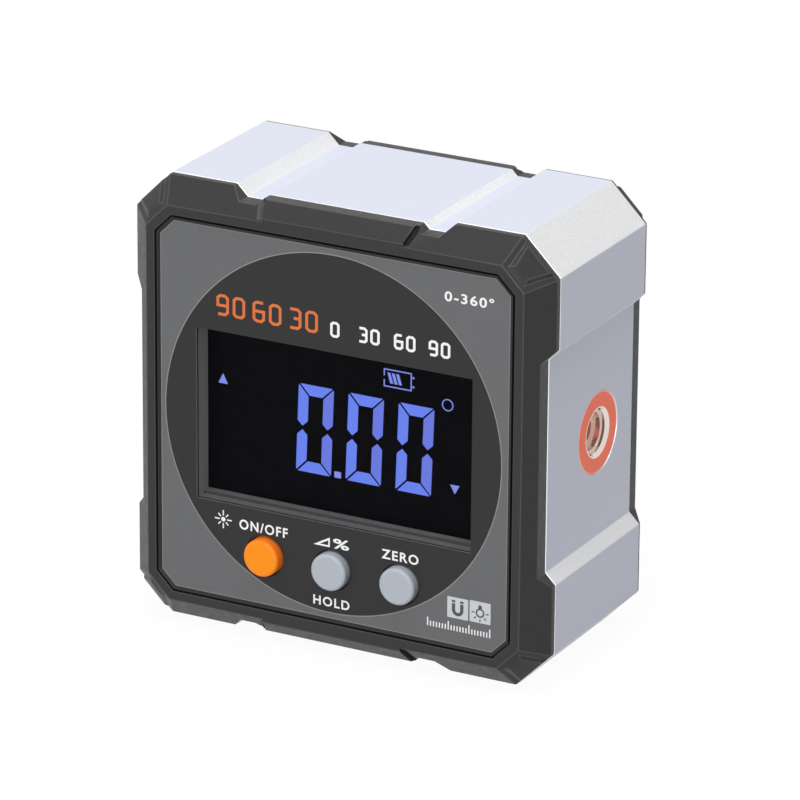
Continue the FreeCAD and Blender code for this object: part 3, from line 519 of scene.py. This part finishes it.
def with_grey_walls(tree, colour):
    """The colour outside the window, and on the walls round it a paler grey that is partly their own
    colour and partly painted light on these shaded walls, with painted shade on walls that face up or
    down.
    """
    x, z = place_on_face(tree)
    across = calc(tree, "LESS_THAN", calc(tree, "ABSOLUTE", x), WINDOW_HALF_X)
    height = calc(tree, "ABSOLUTE", calc(tree, "SUBTRACT", z, WINDOW_Z))
    inside = calc(tree, "MULTIPLY", across, calc(tree, "LESS_THAN", height, WINDOW_HALF_Z))
    _, forward, upward = facing(tree)
    wall = calc(tree, "MULTIPLY", inside, calc(tree, "LESS_THAN", forward, 0.5))
    # painted light and shade: side walls get the paler grey, walls that face up or down a darker one that
    # offsets the lamp above
    grey = blend(tree, upward, (0.4, 0.4, 0.4), (0.21, 0.21, 0.21))
    return blend(tree, wall, colour, grey)


def with_pale_edges(tree, colour):
    """The colour on the flats, and a paler grey where softened() rounded an edge, as a painted highlight
    along the edges.
    """
    edges = add(tree, "ShaderNodeAttribute", attribute_name="rounded")
    # painted highlight: the faces of the rounded edges get a paler grey
    return blend(tree, edges.outputs["Fac"], colour, (0.06, 0.06, 0.062))


def raised(material, height, strength, depth):
    """Bumps that follow a socket; depth is in millimetres."""
    bump = add(material.node_tree, "ShaderNodeBump", {"Strength": strength, "Distance": depth * MM})
    material.node_tree.links.new(height, bump.inputs["Height"])
    set_input(material, "Normal", bump.outputs["Normal"])


def grain(material, scale, strength, depth, stretch=None):
    """Fine bumps; depth is in millimetres."""
    raised(material, noise(material.node_tree, scale, stretch=stretch), strength, depth)


def mottled(material, first, second, scale, stretch=None):
    """Colour that varies between two."""
    tree = material.node_tree
    colour = blend(tree, noise(tree, scale, stretch=stretch), first, second)
    set_input(material, "Base Color", colour)


def uneven(material, low, high, scale):
    """Varying roughness."""
    tree = material.node_tree
    set_input(material, "Roughness", spread(tree, noise(tree, scale), low, high))


def glowing(material, colour, strength):
    """Give a colour a painted glow: a little light of its own that brightens it, though the thing is no
    lamp.
    """
    shader = material.node_tree.nodes["Principled BSDF"]
    shader.inputs["Emission Color"].default_value = (*colour, 1)
    shader.inputs["Emission Strength"].default_value = strength
    return material


# Materials

def plastic(name, dark, pale, roughness, specular):
    """Matte plastic with a fine spark-eroded texture, flecked between two colours."""
    material = surface(name, pale, roughness, specular=specular)
    mottled(material, dark, pale, 2500)
    uneven(material, roughness - 0.06, roughness + 0.06, 900)
    grain(material, 5000, 0.25, 0.02)
    return material


def moulded(name, colour, roughness=0.45, specular=0.5, fleck=0.12):
    """Plastic with flecks that much darker and paler than its colour."""
    dark = tuple(c * (1 - fleck) for c in colour)
    pale = tuple(c * (1 + fleck) for c in colour)
    return plastic(name, dark, pale, roughness, specular)


def metal(name, colour, roughness, stretch=None):
    """Bare metal; a short stretch along an axis leaves lines along it."""
    material = surface(name, colour, roughness, metallic=1.0)
    dark = tuple(c * 0.92 for c in colour)
    mottled(material, dark, colour, 3000, stretch)
    uneven(material, roughness * 0.8, roughness * 1.2, 1000)
    grain(material, 3000, 0.12, 0.01, stretch)
    return material


def black_plastic(name):
    """Textured black plastic with a painted highlight on its rounded edges."""
    material = plastic(name, (0.023, 0.023, 0.024), (0.029, 0.029, 0.03), 0.42, 0.3)
    colour = with_pale_edges(material.node_tree, colour_so_far(material))
    set_input(material, "Base Color", colour)
    return material


def bezel_plastic():
    """The black plastic, with painted light in a paler grey on the walls round the window."""
    material = black_plastic("bezel_plastic")
    colour = with_grey_walls(material.node_tree, colour_so_far(material))
    set_input(material, "Base Color", colour)
    return material


def holder_plastic():
    """Dark plastic with a grey on the walls round the window that is partly their own colour and partly
    painted light.
    """
    material = plastic("holder", (0.065, 0.065, 0.065), (0.075, 0.075, 0.075), 0.5, 0.2)
    colour = with_grey_walls(material.node_tree, colour_so_far(material))
    set_input(material, "Base Color", colour)
    return material


def orange_plastic():
    """Fluorescent orange with a painted glow, and painted shade in a redder orange round the side of the
    button.
    """
    material = plastic("orange_button", (0.88, 0.265, 0.004), (0.92, 0.28, 0.005), 0.42, 0.25)
    tree = material.node_tree
    # painted shade: faces that turn away from the front get a redder, darker orange
    front = spread(tree, facing(tree)[1], 0.0, 1.0, 0.3, 0.95)
    colour = blend(tree, front, (1.0, 0.19, 0.01), colour_so_far(material))
    set_input(material, "Base Color", colour)
    # painted glow that brightens the orange
    return glowing(material, (1.0, 0.25, 0.02), 0.17)


def ring_finish():
    """Orange ring with a thin painted highlight round its outer edge, and a painted glow."""
    material = plastic("ring", (0.97, 0.17, 0.08), (1.0, 0.19, 0.1), 0.35, 0.15)
    tree = material.node_tree
    low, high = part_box("port_ring_right")
    highlight_start = (high.y - low.y) / 2 / MM - RING_HIGHLIGHT
    # painted highlight: a pale line round the ring's outer edge
    painted_rim_highlight = calc(tree, "GREATER_THAN", from_axis(tree, "port_ring_right"), highlight_start)
    colour = blend(tree, painted_rim_highlight, colour_so_far(material), (0.85, 0.72, 0.7))
    set_input(material, "Base Color", colour)
    # painted glow that brightens the ring
    return glowing(material, (1.0, 0.2, 0.12), 0.2)


def aluminium():
    """Anodised aluminium, sandblasted on the slants and polished along the cut edges."""
    material = surface("aluminium", (0.74, 0.76, 0.87), 0.4, specular=0.25)
    tree = material.node_tree
    x, y, z = facing(tree)
    slanted = spread(tree, calc(tree, "MULTIPLY", x, z), 0.0, 1.0, 0.2, 0.45)
    cut = spread(tree, y, 0.0, 1.0, 0.2, 0.5)
    fine = blend(tree, noise(tree, 6000, 2.0), (0.7, 0.725, 0.84), (0.77, 0.8, 0.92))
    sparkle = spread(tree, noise(tree, 8500), 0.0, 1.0, 0.38, 0.56)
    blasted = blend(tree, sparkle, (0.76, 0.77, 0.8), (1.0, 1.0, 1.0))
    colour = blend(tree, slanted, fine, blasted)
    set_input(material, "Base Color", blend(tree, cut, colour, (1.0, 1.0, 1.0)))
    set_input(material, "Metallic", spread(tree, cut, 0.12, 1.0, 0.0, 1.0))
    uneven(material, 0.36, 0.46, 1200)
    grain(material, 8000, 0.25, 0.02)
    return material


def panel_finish():
    """Satin grey panel with a printed dark disc and a printed pale line round it, a painted highlight
    round the flat face, painted shade on the sloping edge and painted light on the window's walls.
    """
    material = surface("panel", (0.15, 0.152, 0.156), 0.4, specular=0.16)
    tree = material.node_tree
    x, z = place_on_face(tree)
    radius = distance(tree, calc(tree, "SUBTRACT", x, DISC_X), calc(tree, "SUBTRACT", z, DISC_Z))
    inside = calc(tree, "LESS_THAN", radius, DISC_RADIUS)
    inner = calc(tree, "LESS_THAN", radius, DISC_RADIUS - DISC_LINE)
    wide, high = calc(tree, "ABSOLUTE", x), calc(tree, "ABSOLUTE", z)
    corner = calc(
        tree, "MULTIPLY_ADD", calc(tree, "ADD", wide, high), math.sqrt(0.5),
        FACE_HALF - FACE_CORNER * math.sqrt(0.5),
    )
    reach = calc(tree, "MAXIMUM", calc(tree, "MAXIMUM", wide, high), corner)
    painted_edge_highlight = calc(tree, "GREATER_THAN", reach, FACE_HALF - FACE_HIGHLIGHT)
    painted_slope_shade = calc(tree, "GREATER_THAN", reach, FACE_HALF)
    grey = blend(tree, noise(tree, 300, 2.0), (0.15, 0.153, 0.158), (0.165, 0.168, 0.173))
    dark = blend(tree, noise(tree, 2500), (0.031, 0.031, 0.031), (0.035, 0.035, 0.035))
    colour = blend(tree, inside, grey, dark)
    colour = blend(tree, calc(tree, "SUBTRACT", inside, inner), colour, (0.3, 0.3, 0.3))
    # painted highlight: a pale line round the edge of the flat face
    colour = blend(tree, painted_edge_highlight, colour, (0.24, 0.24, 0.24))
    # painted shade: the sloping edge beyond the flat face is made nearly black
    colour = blend(tree, painted_slope_shade, colour, (0.03, 0.03, 0.03))
    set_input(material, "Base Color", with_grey_walls(tree, colour))
    uneven(material, 0.36, 0.44, 600)
    grain(material, 6000, 0.15, 0.01)
    return material


def clear_window():
    """Thin clear sheet, nearly without colour."""
    material = surface("window", (0.02, 0.02, 0.022), 0.08, specular=0.1)
    material.node_tree.nodes["Principled BSDF"].inputs["Alpha"].default_value = 0.05
    uneven(material, 0.06, 0.1, 200)
    return material


def lit(name, colour):
    """A lit mark of the display, slightly uneven."""
    material = surface(name, (0.0, 0.0, 0.0), 0.6, specular=0.0)
    tree = material.node_tree
    tree.nodes["Principled BSDF"].inputs["Emission Strength"].default_value = 1.0
    dim = tuple(c * 0.93 for c in colour)
    set_input(material, "Emission Color", blend(tree, noise(tree, 700), dim, colour))
    return material


def ink(name, colour):
    """Matte print."""
    material = surface(name, colour, 0.5, specular=0.2)
    mottled(material, tuple(c * 0.96 for c in colour), colour, 3000)
    grain(material, 4000, 0.1, 0.01)
    return material


def cell_jacket():
    """Plain slate jacket with silvery bands and bare metal ends."""
    material = surface("cell_jacket", (0.07, 0.1, 0.13), 0.3)
    tree = material.node_tree
    height = calc(tree, "ABSOLUTE", place_on_face(tree)[1])
    band = calc(tree, "GREATER_THAN", height, CELL_BAND)
    end = calc(tree, "GREATER_THAN", height, CELL_END)
    slate = blend(tree, noise(tree, 900), (0.065, 0.095, 0.125), (0.075, 0.105, 0.135))
    colour = blend(tree, band, slate, (0.42, 0.43, 0.45))
    set_input(material, "Base Color", blend(tree, end, colour, (0.7, 0.7, 0.7)))
    set_input(material, "Metallic", band)
    grain(material, 2500, 0.08, 0.01)
    return material


def board_finish():
    """Green solder mask over fine copper tracks."""
    material = surface("board", (0.01, 0.12, 0.045), 0.35)
    tree = material.node_tree
    bricks = {"Scale": 320.0, "Mortar Size": 0.06, "Brick Width": 1.3, "Row Height": 0.35}
    tracks = textured(tree, "ShaderNodeTexBrick", bricks, {"Rotation": (math.pi / 2, 0, 0)})
    set_input(material, "Base Color", blend(tree, tracks, (0.008, 0.1, 0.036), (0.02, 0.2, 0.07)))
    raised(material, tracks, 0.3, 0.03)
    return material


def striped_rubber():
    """Soft strip of thin black and pale layers."""
    material = surface("soft_strip", (0.1, 0.1, 0.1), 0.6)
    tree = material.node_tree
    waves = textured(tree, "ShaderNodeTexWave", {"Scale": 900.0}, bands_direction="X")
    set_input(material, "Base Color", blend(tree, waves, (0.02, 0.02, 0.02), (0.35, 0.35, 0.34)))
    return material


def lens_finish():
    """Coated lens with a painted highlight round its rim and the red light of the laser in its middle."""
    material = surface("lens", (0.35, 0.3, 0.34), 0.05)
    tree = material.node_tree
    radius = from_axis(tree, "laser_lens_right")
    glow = spread(tree, radius, 1.0, 0.0, 0.2, 1.6)
    set_input(material, "Emission Color", blend(tree, glow, (0.02, 0.0, 0.0), (1.0, 0.12, 0.06)))
    tree.nodes["Principled BSDF"].inputs["Emission Strength"].default_value = 0.6
    coating = blend(tree, noise(tree, 500), (0.3, 0.25, 0.3), (0.4, 0.33, 0.36))
    # painted highlight: a near-white ring round the outside of the lens
    painted_rim_highlight = calc(tree, "GREATER_THAN", radius, LENS_HIGHLIGHT)
    set_input(material, "Base Color", blend(tree, painted_rim_highlight, coating, (0.95, 0.92, 0.92)))
    return material


# Finishes of the CAD nodes

def paint_nodes():
    """Give every CAD node that stays visible its finish."""
    steel = metal("steel", (0.55, 0.55, 0.55), 0.3)
    nickel = metal("nickel", (0.66, 0.64, 0.6), 0.28)
    barrel = metal("barrel", (0.72, 0.56, 0.46), 0.25, stretch=(0.2, 1, 1))
    plated = metal("plated", (0.78, 0.68, 0.64), 0.14, stretch=(0.15, 1, 1))
    plunger = moulded("plunger", (0.02, 0.02, 0.02))
    board = board_finish()
    lens = lens_finish()
    clamp = moulded("clamp", (0.02, 0.02, 0.02))
    lead = moulded("lead", (0.45, 0.02, 0.015), 0.5)
    ring = ring_finish()
    grey = moulded("grey_button", (0.485, 0.53, 0.585), 0.42, 0.35, 0.03)
    jacket = cell_jacket()
    finishes = {
        "display_window": clear_window(),
        "display_holder": holder_plastic(),
        "display_glass": moulded("display", (0.002, 0.002, 0.0035), 0.3, 0.02),
        "backlight": moulded("backlight", (0.8, 0.8, 0.84), 0.5),
        "contact_strips": striped_rubber(),
        "power_button": orange_plastic(),
        "hold_button": grey,
        "zero_button": grey,
        "power_plunger": plunger,
        "hold_plunger": plunger,
        "zero_plunger": plunger,
        "switch_bodies": moulded("switch", (0.03, 0.03, 0.032), 0.35),
        "circuit_board": board,
        "processor_chip": moulded("chip", (0.018, 0.018, 0.02), 0.4),
        "tilt_sensor": steel,
        "small_components": moulded("component", (0.3, 0.22, 0.14), 0.35),
        "board_screws": steel,
        "case_screws": metal("black_screw", (0.06, 0.06, 0.065), 0.35),
        "clamp_screws": steel,
        "magnets": nickel,
        "cell_left": jacket,
        "cell_right": jacket,
        "contact_upper_left": nickel,
        "contact_upper_right": nickel,
        "contact_lower": nickel,
    }
    for side in ("_right", "_left"):
        finishes["port_ring" + side] = ring
        finishes["port_bush" + side] = plated
        finishes["laser_barrel" + side] = barrel
        finishes["laser_lens" + side] = lens
        finishes["laser_diode" + side] = barrel
        finishes["laser_driver" + side] = board
        finishes["laser_clamp" + side] = clamp
        finishes["laser_leads" + side] = lead
    for node, material in finishes.items():
        frame["nodes"][node].data.materials.clear()
        frame["nodes"][node].data.materials.append(material)


def soften_nodes():
    """Stand-ins with rounded edges for the nodes that make the outside."""
    black = black_plastic("rear_plastic")
    softened("aluminium_frame", METAL_ROUND, aluminium(), frame_edge)
    softened("front_bezel", COVER_ROUND, bezel_plastic(), outside_edge)
    softened("rear_cover", COVER_ROUND, black, outside_edge)
    softened("battery_door", DOOR_ROUND, black, straight_edge)
    softened("face_panel", PANEL_ROUND, panel_finish(), rim_edge)


# Printed face

def rays(x, z, angles, start, end, width):
    """Short straight lines that point away from a centre."""
    lines = []
    for degrees in angles:
        turn = math.radians(degrees)
        ends = [(x + r * math.cos(turn), z + r * math.sin(turn)) for r in (start, end)]
        lines.append(ribbon(ends, width))
    return lines


def lamp_mark(material):
    """Sun with eight rays, for the lamp behind the display."""
    groups = [[circle(*LAMP_MARK, LAMP_DISC, 24)]]
    groups += rays(*LAMP_MARK, range(0, 360, 90), LAMP_RAYS, LAMP_LONG, LAMP_LINE)
    groups += rays(*LAMP_MARK, range(45, 360, 90), LAMP_RAYS, LAMP_SHORT, LAMP_LINE)
    printed("lamp_mark", groups, material)


def slope_mark(material):
    """Small wedge in front of the percent sign."""
    x0, x1, z0, z1 = SLOPE_MARK
    line = 0.26
    wedge = [(x0, z0), (x1, z0), (x1, z1)]
    inner = [(x0 + 1.02, z0 + line), (x1 - line, z0 + line), (x1 - line, z1 - 2 * line)]
    printed("slope_mark", [[wedge, inner]], material)


def magnet_sign(pale, dark):
    """Horseshoe magnet on a pale square."""
    x0, x1, z0, z1 = MAGNET_SIGN
    printed("magnet_sign", [[rounded_box(*MAGNET_SIGN, SIGN_CORNER)]], pale)
    x = (x0 + x1) / 2
    z = z0 + 1.35
    outer, inner, top = 0.95, 0.42, z1 - 0.95
    turns = [math.pi * (1 + i / 12) for i in range(13)]
    arch = [(x - outer, top)]
    arch += [(x + outer * math.cos(a), z + outer * math.sin(a)) for a in turns]
    arch += [(x + outer, top), (x + inner, top)]
    arch += [(x + inner * math.cos(a), z + inner * math.sin(a)) for a in reversed(turns)]
    arch += [(x - inner, top)]
    tips = [
        [rectangle(left, left + outer - inner, top + 0.15, top + 0.5)]
        for left in (x - outer, x + inner)
    ]
    printed("magnet_mark", [[arch], *tips], dark, layer=1)


def lamp_sign(pale, dark):
    """Hanging lamp on a pale square."""
    x0, x1, z0, z1 = LAMP_SIGN
    printed("lamp_sign", [[rounded_box(*LAMP_SIGN, SIGN_CORNER)]], pale)
    x = (x0 + x1) / 2
    z = (z0 + z1) / 2 - 0.1
    bulb = [circle(x, z, 0.72, 32), circle(x, z, 0.48, 32)]
    socket = [(x - 0.3, z + 0.7), (x + 0.3, z + 0.7), (x + 0.26, z + 1.2), (x - 0.26, z + 1.2)]
    beams = rays(x, z, (0, 180, 225, 270, 315), 0.95, 1.4, 0.18)
    printed("lamp_sign_mark", [bulb, [socket], *beams], dark, layer=1)


# Main line of each of the scale's figures, on a grid one wide and two high, and whether it closes
FIGURES = {
    "0": ([(0, 0.25), (0, 1.75), (0.25, 2), (0.75, 2), (1, 1.75), (1, 0.25), (0.75, 0), (0.25, 0)], True),
    "3": ([(0, 2), (0.75, 2), (1, 1.75), (1, 0.25), (0.75, 0), (0, 0)], False),
    "6": ([(0, 1.05), (1, 1.05), (1, 0.25), (0.75, 0), (0.25, 0), (0, 0.25)], True),
    "9": ([(1, 0.95), (0, 0.95), (0, 1.75), (0.25, 2), (0.75, 2), (1, 1.75)], True),
}


def figure(sign, left, base, width, height, line):
    """Groups of outlines for one figure: its main line, and the stroke that some have beside it."""

    def spot(x, z):
        return (left + x * width, base + z * height / 2)

    half = line / 2
    points, closed = FIGURES[sign]
    groups = [ribbon([spot(*point) for point in points], line, closed)]
    if sign == "3":
        start, end = spot(0.35, 1.03), spot(1, 1.03)
        groups.append([rectangle(start[0], end[0] - half, end[1] - half, end[1] + half)])
    if sign == "6":
        foot = spot(0, 1.05)
        stem = [(foot[0], foot[1] + half), spot(0, 1.75), spot(0.25, 2), spot(0.95, 2)]
        groups.append(ribbon(stem, line))
    if sign == "9":
        foot = spot(1, 0.95)
        stem = [(foot[0], foot[1] - half), spot(1, 0.25), spot(0.75, 0), spot(0.05, 0)]
        groups.append(ribbon(stem, line))
    return groups


def number(text, middle, base, width, height, gap, line):
    """Groups of outlines for a number centred on middle."""
    total = len(text) * width + (len(text) - 1) * gap
    groups = []
    for i, sign in enumerate(text):
        groups += figure(sign, middle - total / 2 + i * (width + gap), base, width, height, line)
    return groups


def degree_scale(name, numbers, sizes, material):
    """Part of the row of numbers above the display."""
    groups = []
    for text, x in numbers:
        groups += number(text, x, *sizes)
    printed(name, groups, material)


def short_scale(material):
    """Row of ticks below the two signs."""
    groups = []
    for i in range(TICKS):
        x = TICK_X + i * TICK_PITCH
        length = TICK_SHORT if i % LONG_EVERY else TICK_LONG
        groups.append(ribbon([(x, TICK_Z), (x, TICK_Z + length)], TICK_LINE))
    printed("short_scale", groups, material)


def printed_face():
    # the white ink gets a painted glow
    white = glowing(ink("white_ink", (0.88, 0.88, 0.88)), (1.0, 1.0, 1.0), 0.12)
    orange = ink("orange_ink", (0.8, 0.2, 0.06))
    pale = ink("pale_ink", (0.68, 0.69, 0.72))
    grey = ink("grey_ink", (0.1, 0.102, 0.105))
    label("power_label", "ON/OFF", POWER_LABEL, white)
    label("percent_label", "%", PERCENT_LABEL, white)
    label("zero_label", "ZERO", ZERO_LABEL, white)
    label("hold_label", "HOLD", HOLD_LABEL, white)
    label("range_label", "0-360°", RANGE_LABEL, white)
    lamp_mark(white)
    slope_mark(white)
    magnet_sign(pale, grey)
    lamp_sign(pale, grey)
    degree_scale("scale_left", LEFT_NUMBERS, LEFT_FIGURES, orange)
    degree_scale("scale_right", RIGHT_NUMBERS, RIGHT_FIGURES, white)
    short_scale(white)


# Lit display

def digit_segments():
    """Outlines of the lit segments of a zero, each with its place: side is True on the right."""
    w, h, t, g = DIGIT_WIDTH, DIGIT_HEIGHT, SEGMENT, SEGMENT_GAP
    cut, tip, shoulder = SEGMENT_CUT, h / 2 + SEGMENT_TIP, h / 2 + SEGMENT_SHOULDER
    left = [(0, h - g - cut), (cut, h - g), (t, h - t - g), (t, shoulder), (t / 2, tip), (0, shoulder)]
    top = [(g + cut, h), (w - g, h), (w - t - g, h - t), (t + g, h - t)]
    found = []
    for flip in (False, True):
        for side in (False, True):
            outline = [(w - x if side else x, h - z if flip else z) for x, z in left]
            found.append((outline, side))
        found.append(([(x, h - z if flip else z) for x, z in top], False))
    return found


def digits(blue, deep):
    """Three zeros, with their right-hand segments in a deeper blue."""
    for place, left in enumerate(DIGIT_LEFT, 1):
        for shade, on_right in ((blue, False), (deep, True)):
            groups = [
                [[(left + x + DIGIT_LEAN * z / DIGIT_HEIGHT, DIGIT_BASE + z) for x, z in outline]]
                for outline, side in digit_segments() if side == on_right
            ]
            name = "digit_" + str(place) + ("_right" if on_right else "_left")
            art(name, groups, DISPLAY_Y, LIT, shade)


def display_marks(material):
    """Decimal point, the two triangles and the degree ring."""
    ring = [circle(*DEGREE, DEGREE_OUTER), circle(*DEGREE, DEGREE_INNER)]
    groups = [[rounded_box(*POINT, 0.06)], [RISING], [FALLING], ring]
    art("display_marks", groups, DISPLAY_Y, LIT, material)


def battery_mark(material):
    """Outline of a battery, open at the left, with slanting bars in it."""
    x0, x1, z0, z1 = BATTERY
    middle = (z0 + z1) / 2
    half = BATTERY_LINE / 2
    loop = [
        (x0 + half, middle - BATTERY_GAP / 2), (x0 + half, z0 + half), (x1 - half, z0 + half),
        (x1 - half, z1 - half), (x0 + half, z1 - half), (x0 + half, middle + BATTERY_GAP / 2),
    ]
    groups = [ribbon(loop, BATTERY_LINE)]
    for z in (z0 + 0.55, z1 - 0.85):
        groups.append([rectangle(x1 + 0.1, x1 + 0.42, z, z + 0.3)])
    low, high = z0 + 0.62, z1 - 0.58
    for i in range(BATTERY_BARS):
        x = x0 + 0.6 + i * 0.72
        groups.append([[(x + 0.5, low), (x + 0.98, low), (x + 0.48, high), (x, high)]])
    art("battery_mark", groups, DISPLAY_Y, LIT, material)


def lit_display():
    blue = lit("lit_blue", (0.165, 0.26, 0.97))
    deep = lit("lit_deep_blue", (0.165, 0.225, 0.83))
    pale = lit("lit_pale_blue", (0.25, 0.31, 0.9))
    digits(blue, deep)
    display_marks(pale)
    battery_mark(pale)


# Studio

def camera():
    """Camera at the photograph's angle, with no lens shift."""
    turn, tilt, roll = (math.radians(v) for v in (AZIMUTH, ELEVATION, ROLL))
    back = Vector((
        math.sin(turn) * math.cos(tilt), -math.cos(turn) * math.cos(tilt), math.sin(tilt),
    ))
    level = Vector((math.cos(turn), math.sin(turn), 0))
    upright = back.cross(level)
    right = math.cos(roll) * level + math.sin(roll) * upright
    up = math.cos(roll) * upright - math.sin(roll) * level
    place = Vector((0, TARGET_Y, MIDDLE_Z)) + back * DISTANCE + right * SHIFT_RIGHT + up * SHIFT_UP
    data = bpy.data.cameras.new("camera")
    data.sensor_width = SENSOR
    data.lens = FOCAL_PIXELS / IMAGE_SIDE * SENSOR
    data.clip_start = 0.01
    data.clip_end = 50.0
    eye = bpy.data.objects.new("camera", data)
    eye.matrix_world = Matrix.Translation(place * MM) @ Matrix((right, up, back)).transposed().to_4x4()
    bpy.context.scene.collection.objects.link(eye)
    bpy.context.scene.camera = eye


def lamp(name, place, power):
    data = bpy.data.lights.new(name, "AREA")
    data.shape = "DISK"
    data.size = LAMP_SIZE
    data.energy = power
    light = bpy.data.objects.new(name, data)
    light.location = place
    light.rotation_euler = (Vector(LAMP_TARGET) - Vector(place)).to_track_quat("-Z", "Y").to_euler()
    bpy.context.scene.collection.objects.link(light)


def seen_directly(tree):
    """1 for camera, glossy and transmission rays, 0 for the rays that light the object."""
    path = add(tree, "ShaderNodeLightPath")
    seen = calc(tree, "MAXIMUM", path.outputs["Is Camera Ray"], path.outputs["Is Glossy Ray"])
    return calc(tree, "MAXIMUM", seen, path.outputs["Is Transmission Ray"])


def world():
    """White to the eye and in reflections, softer as a light, and softest from the two sides."""
    scene_world = bpy.data.worlds.new("world")
    scene_world.use_nodes = True
    tree = scene_world.node_tree
    background = tree.nodes["Background"]
    background.inputs["Color"].default_value = (1, 1, 1, 1)
    sideways = calc(tree, "ABSOLUTE", axes(tree, "Generated")[0])
    soft = spread(tree, sideways, WORLD_LIGHT, SIDE_SHARE * WORLD_LIGHT, 0.5, 0.9)
    tree.links.new(calc(tree, "MAXIMUM", seen_directly(tree), soft), background.inputs["Strength"])
    bpy.context.scene.world = scene_world


def floor():
    """Pale floor that keeps a soft shadow and looks nearly white to the eye and in reflections."""
    work = bmesh.new()
    bmesh.ops.create_circle(work, cap_ends=True, segments=96, radius=FLOOR_RADIUS)
    mesh = bpy.data.meshes.new("floor")
    work.to_mesh(mesh)
    work.free()
    material = bpy.data.materials.new("floor")
    material.use_nodes = True
    tree = material.node_tree
    tree.nodes.clear()
    plain = add(tree, "ShaderNodeBsdfDiffuse")
    pale = blend(tree, noise(tree, 3.0), (0.37, 0.37, 0.38), (0.39, 0.39, 0.39))
    tree.links.new(pale, plain.inputs["Color"])
    white = add(tree, "ShaderNodeEmission", {"Color": (1, 1, 1, 1), "Strength": FLOOR_STRENGTH})
    mix = add(tree, "ShaderNodeMixShader")
    tree.links.new(calc(tree, "MULTIPLY", seen_directly(tree), FLOOR_WHITE), mix.inputs["Fac"])
    tree.links.new(plain.outputs["BSDF"], mix.inputs[1])
    tree.links.new(white.outputs["Emission"], mix.inputs[2])
    output = add(tree, "ShaderNodeOutputMaterial")
    tree.links.new(mix.outputs["Shader"], output.inputs["Surface"])
    mesh_piece("floor", mesh, material)


def studio():
    camera()
    world()
    floor()
    lamp("top_light", TOP_LAMP, TOP_POWER)
    lamp("front_light", FRONT_LAMP, FRONT_POWER)


def clear_start():
    """Remove what Blender's own start scene holds."""
    for thing in [o for o in bpy.data.objects if o.name in ("Cube", "Light", "Camera")]:
        bpy.data.objects.remove(thing)


def main():
    clear_start()
    bpy.context.scene.view_settings.view_transform = "Standard"
    paint_nodes()
    soften_nodes()
    printed_face()
    lit_display()
    studio()


main()
